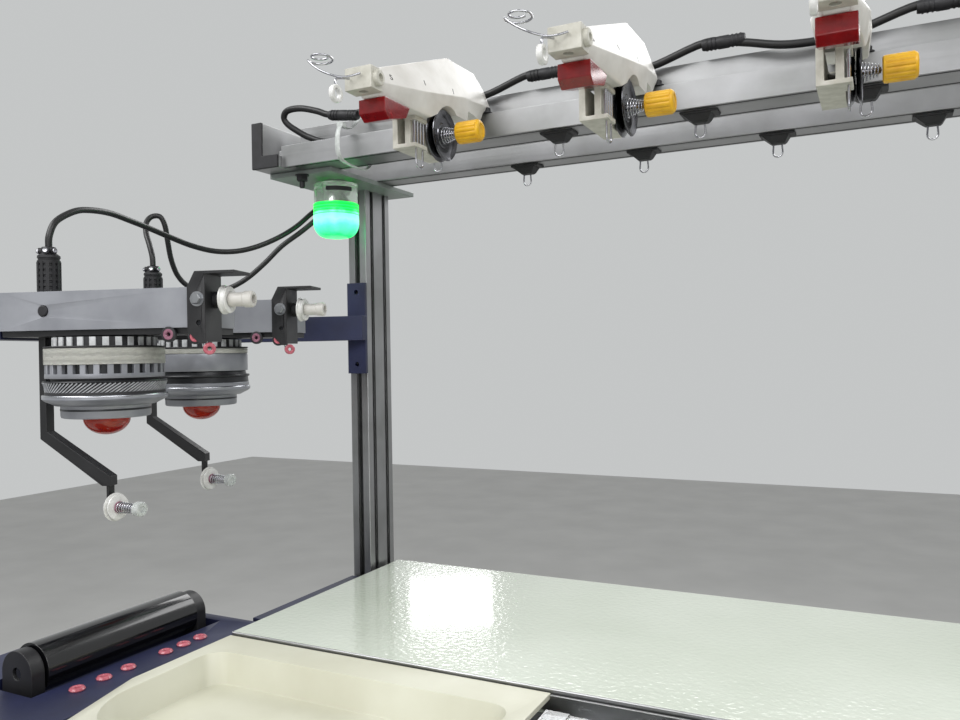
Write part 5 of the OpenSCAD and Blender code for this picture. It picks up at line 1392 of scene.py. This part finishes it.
# %% The lamp's ribbed lens
lens_low, lens_high = (corner * 1000 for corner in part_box("signal_lamp_lens"))
lens_middle = (lens_low + lens_high) / 2
lamp_at = at(lens_middle.x, lens_middle.y, lens_high.z)
lens_r = (lens_high.x - lens_low.x) / 2
rib_pitch = 3.8
lens = [(0, -2.4), (lens_r - 3, -2.4), (lens_r - 2.6, -0.2), (lens_r - 0.6, -0.2), (lens_r, -0.8)]
for k in range(4):
    top = -2.0 - rib_pitch * k
    lens += [(lens_r, top), (lens_r - 1.1, top - 0.6), (lens_r - 1.1, top - 1.4), (lens_r, top - 2.0)]
lens.append((lens_r, -24))
for a in range(0, 90, 9):
    c, s = math.cos(math.radians(a)), math.sin(math.radians(a))
    lens.append((lens_r - 13 * (1 - c) - 0.02 * a, -26 - 18 * s))
lens += [(lens_r - 16, -44), (0, -44)]
make("lamp_lens", lathe(lens, 72), green_lens, place=lamp_at, angle=50, replaces=("signal_lamp_lens",))
shades = []
for k in range(4):
    low = -4.2 - rib_pitch * k
    high, inner, outer = low + 1.2, lens_r - 2, lens_r - 0.5
    shades.append(ring_of([(inner, low), (outer, low), (outer, high), (inner, high)], 72))
make("lamp_rib_shades", joined(*shades), green_rib, place=lamp_at)
print("the lamp's radius is", round(lens_r, 1))

# %% The dark band in the lamp's clear half
band_inner, band_outer = lens_r - 0.95, lens_r - 0.6
band = [(band_inner, 14), (band_outer, 14), (band_outer, 19.5), (band_inner, 19.5)]
band_angles = range(-120, -49, 5)
strip, strip_faces = [], []
for a in band_angles:
    c, s = math.cos(math.radians(a)), math.sin(math.radians(a))
    strip += [Vector((r * c, r * s, z)) for r, z in band]
for i in range(len(band_angles) - 1):
    here, there = 4 * i, 4 * i + 4
    for k in range(4):
        n = (k + 1) % 4
        strip_faces.append((here + k, here + n, there + n, there + k))
strip_faces += [(3, 2, 1, 0), tuple(4 * len(band_angles) - 4 + k for k in range(4))]
make("lamp_band", (strip, strip_faces), black_moulding, place=lamp_at @ turned(40, "Z"))

# %% Knob caps of the sliding covers
# Each knob stands off its cover's round, so it is placed by the covers' axis and its own lean.
cover_axis = (60, 700)
knob_edge, knob_lean = 45, 50
outer_r = 490
inner_r = outer_r - 4 - 4.5
ribbed = lathe([
    (0, 21.1), (10.6, 21.1), (12.4, 20.4), (13.3, 18.6), (13.3, 9.5), (12.6, 8.2), (12.2, 8.2), (12.2, 20),
    (0, 20.2),
], 48)
grip = block((12.9, -0.7, 9.6), (14.2, 0.7, 18.4))
grips = joined(*[moved(grip, turned(a, "Z")) for a in range(0, 360, 15)])
for node, body, end, radius in (
    ("sliding_cover_left", "left_cover", 0, outer_r),
    ("sliding_cover_right", "right_cover", 4, inner_r),
):
    knob_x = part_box(node)[1].x * 1000 + end - knob_edge
    knob_at = at(knob_x, *cover_axis) @ turned(knob_lean, "X") @ at(0, 0, radius - 1)
    make(node + "_knob_cap", ribbed, yellow_moulding, body, place=knob_at, angle=40)
    make(node + "_knob_grip", grips, yellow_moulding, body, place=knob_at)
    print(node, "has its knob at x", round(knob_x))

# %% Plugs in the open rear ends of the cross members
frame_low, frame_high = (corner * 1000 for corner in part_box("cross_members"))
cross_w, leg, wall, lap = 40, 15, 2.5, 0.1
plugs = []
for outer, inward in ((frame_low.x, 1), (frame_high.x, -1)):
    for reach, top, depth in ((cross_w, frame_low.z + leg, 3.0), (leg, frame_high.z, 3.2)):
        near, far = sorted((outer + inward * (wall - lap), outer + inward * (reach - wall + lap)))
        front, back = frame_high.y - depth - 1, frame_high.y - 1
        plugs.append(block((near, front, frame_low.z + wall - lap), (far, back, top - wall + lap)))
make("cross_member_plugs", joined(*plugs), black_moulding)
print("plugs in the cross members:", len(plugs))

# %% [markdown]
# ## Studio
# A pale floor and a pale surround keep the eye on the machine. Large soft lamps stand where a
# workshop's ceiling lights would be. The world is brighter for the camera, for reflections and
# through glass than for the light it gives, so the background is pale without washing out the machine.

# %% Floor
bpy.context.scene.view_settings.view_transform = "Standard"
floor_half = 9
floor_corners = [(-floor_half, -floor_half, 0), (floor_half, -floor_half, 0)]
floor_corners += [(floor_half, floor_half, 0), (-floor_half, floor_half, 0)]
floor_mesh = bpy.data.meshes.new("studio_floor")
floor_mesh.from_pydata(floor_corners, [], [(0, 1, 2, 3)])
floor = linked("studio_floor", floor_mesh)
# Matt paint with wide clouds, so the floor isn't one flat tone under the shadow.
floor_paint = Finish("pale_studio_floor", "#d5d5d2", 0.6, tint=(400, 3, "#cfcfcc", "#d9d9d6"))
floor_mesh.materials.append(floor_paint.material)
print("floor is", 2 * floor_half, "m wide")

# %% Surround
world = bpy.data.worlds.new("pale_surround")
bpy.context.scene.world = world
world.use_nodes = True
sky = world.node_tree
lit = sky.nodes["Background"]
lit.inputs["Color"].default_value = colour("#f4f5f6")
lit.inputs["Strength"].default_value = 0.42
seen = add(sky, "ShaderNodeBackground", {"Color": colour("#c9cbcb"), "Strength": 0.95})
rays = add(sky, "ShaderNodeLightPath").outputs
larger = {"operation": "MAXIMUM"}
direct = add(sky, "ShaderNodeMath", larger, i0=rays["Is Camera Ray"], i1=rays["Is Transmission Ray"])
direct = add(sky, "ShaderNodeMath", larger, i0=direct.outputs["Value"], i1=rays["Is Glossy Ray"])
choice = add(
    sky, "ShaderNodeMixShader",
    i0=direct.outputs["Value"], i1=lit.outputs["Background"], i2=seen.outputs["Background"],
)
sky.links.new(choice.outputs["Shader"], sky.nodes["World Output"].inputs["Surface"])
print("surround made")


# %% Lamps
def soft_lamp(name, place, aim, size, watts):
    """A rectangular lamp at a place, turned to its aim, in metres."""
    lamp = linked(name, bpy.data.lights.new(name, "AREA"))
    lamp.data.shape = "RECTANGLE"
    lamp.data.size, lamp.data.size_y = size
    lamp.data.energy = watts
    lamp.data.color = (1, 1, 1)
    way = Vector(aim) - Vector(place)
    lamp.matrix_world = at(*place) @ way.to_track_quat("-Z", "Y").to_matrix().to_4x4()
    print(name, "gives", watts, "W")


soft_lamp("ceiling_left", (-1.8, -1.6, 3.4), (-0.6, 0.1, 1.4), (2.6, 1.2), 60)
soft_lamp("ceiling_right", (1.6, -1.2, 3.4), (0.3, 0.0, 1.2), (2.6, 1.2), 50)
soft_lamp("ceiling_rear", (-0.6, 2.6, 3.2), (-0.4, 0.2, 1.5), (3.0, 1.2), 45)
soft_lamp("front_fill", (0.4, -3.4, 1.5), (-0.2, 0.0, 1.2), (2.4, 1.6), 26)
# A small one far behind the table: its reflection is the sparkling patch on the enamel.
soft_lamp("tube_over_table", (-2.75, 3.75, 2.4), (-0.85, 0.25, 1.2), (0.5, 0.3), 2.0)
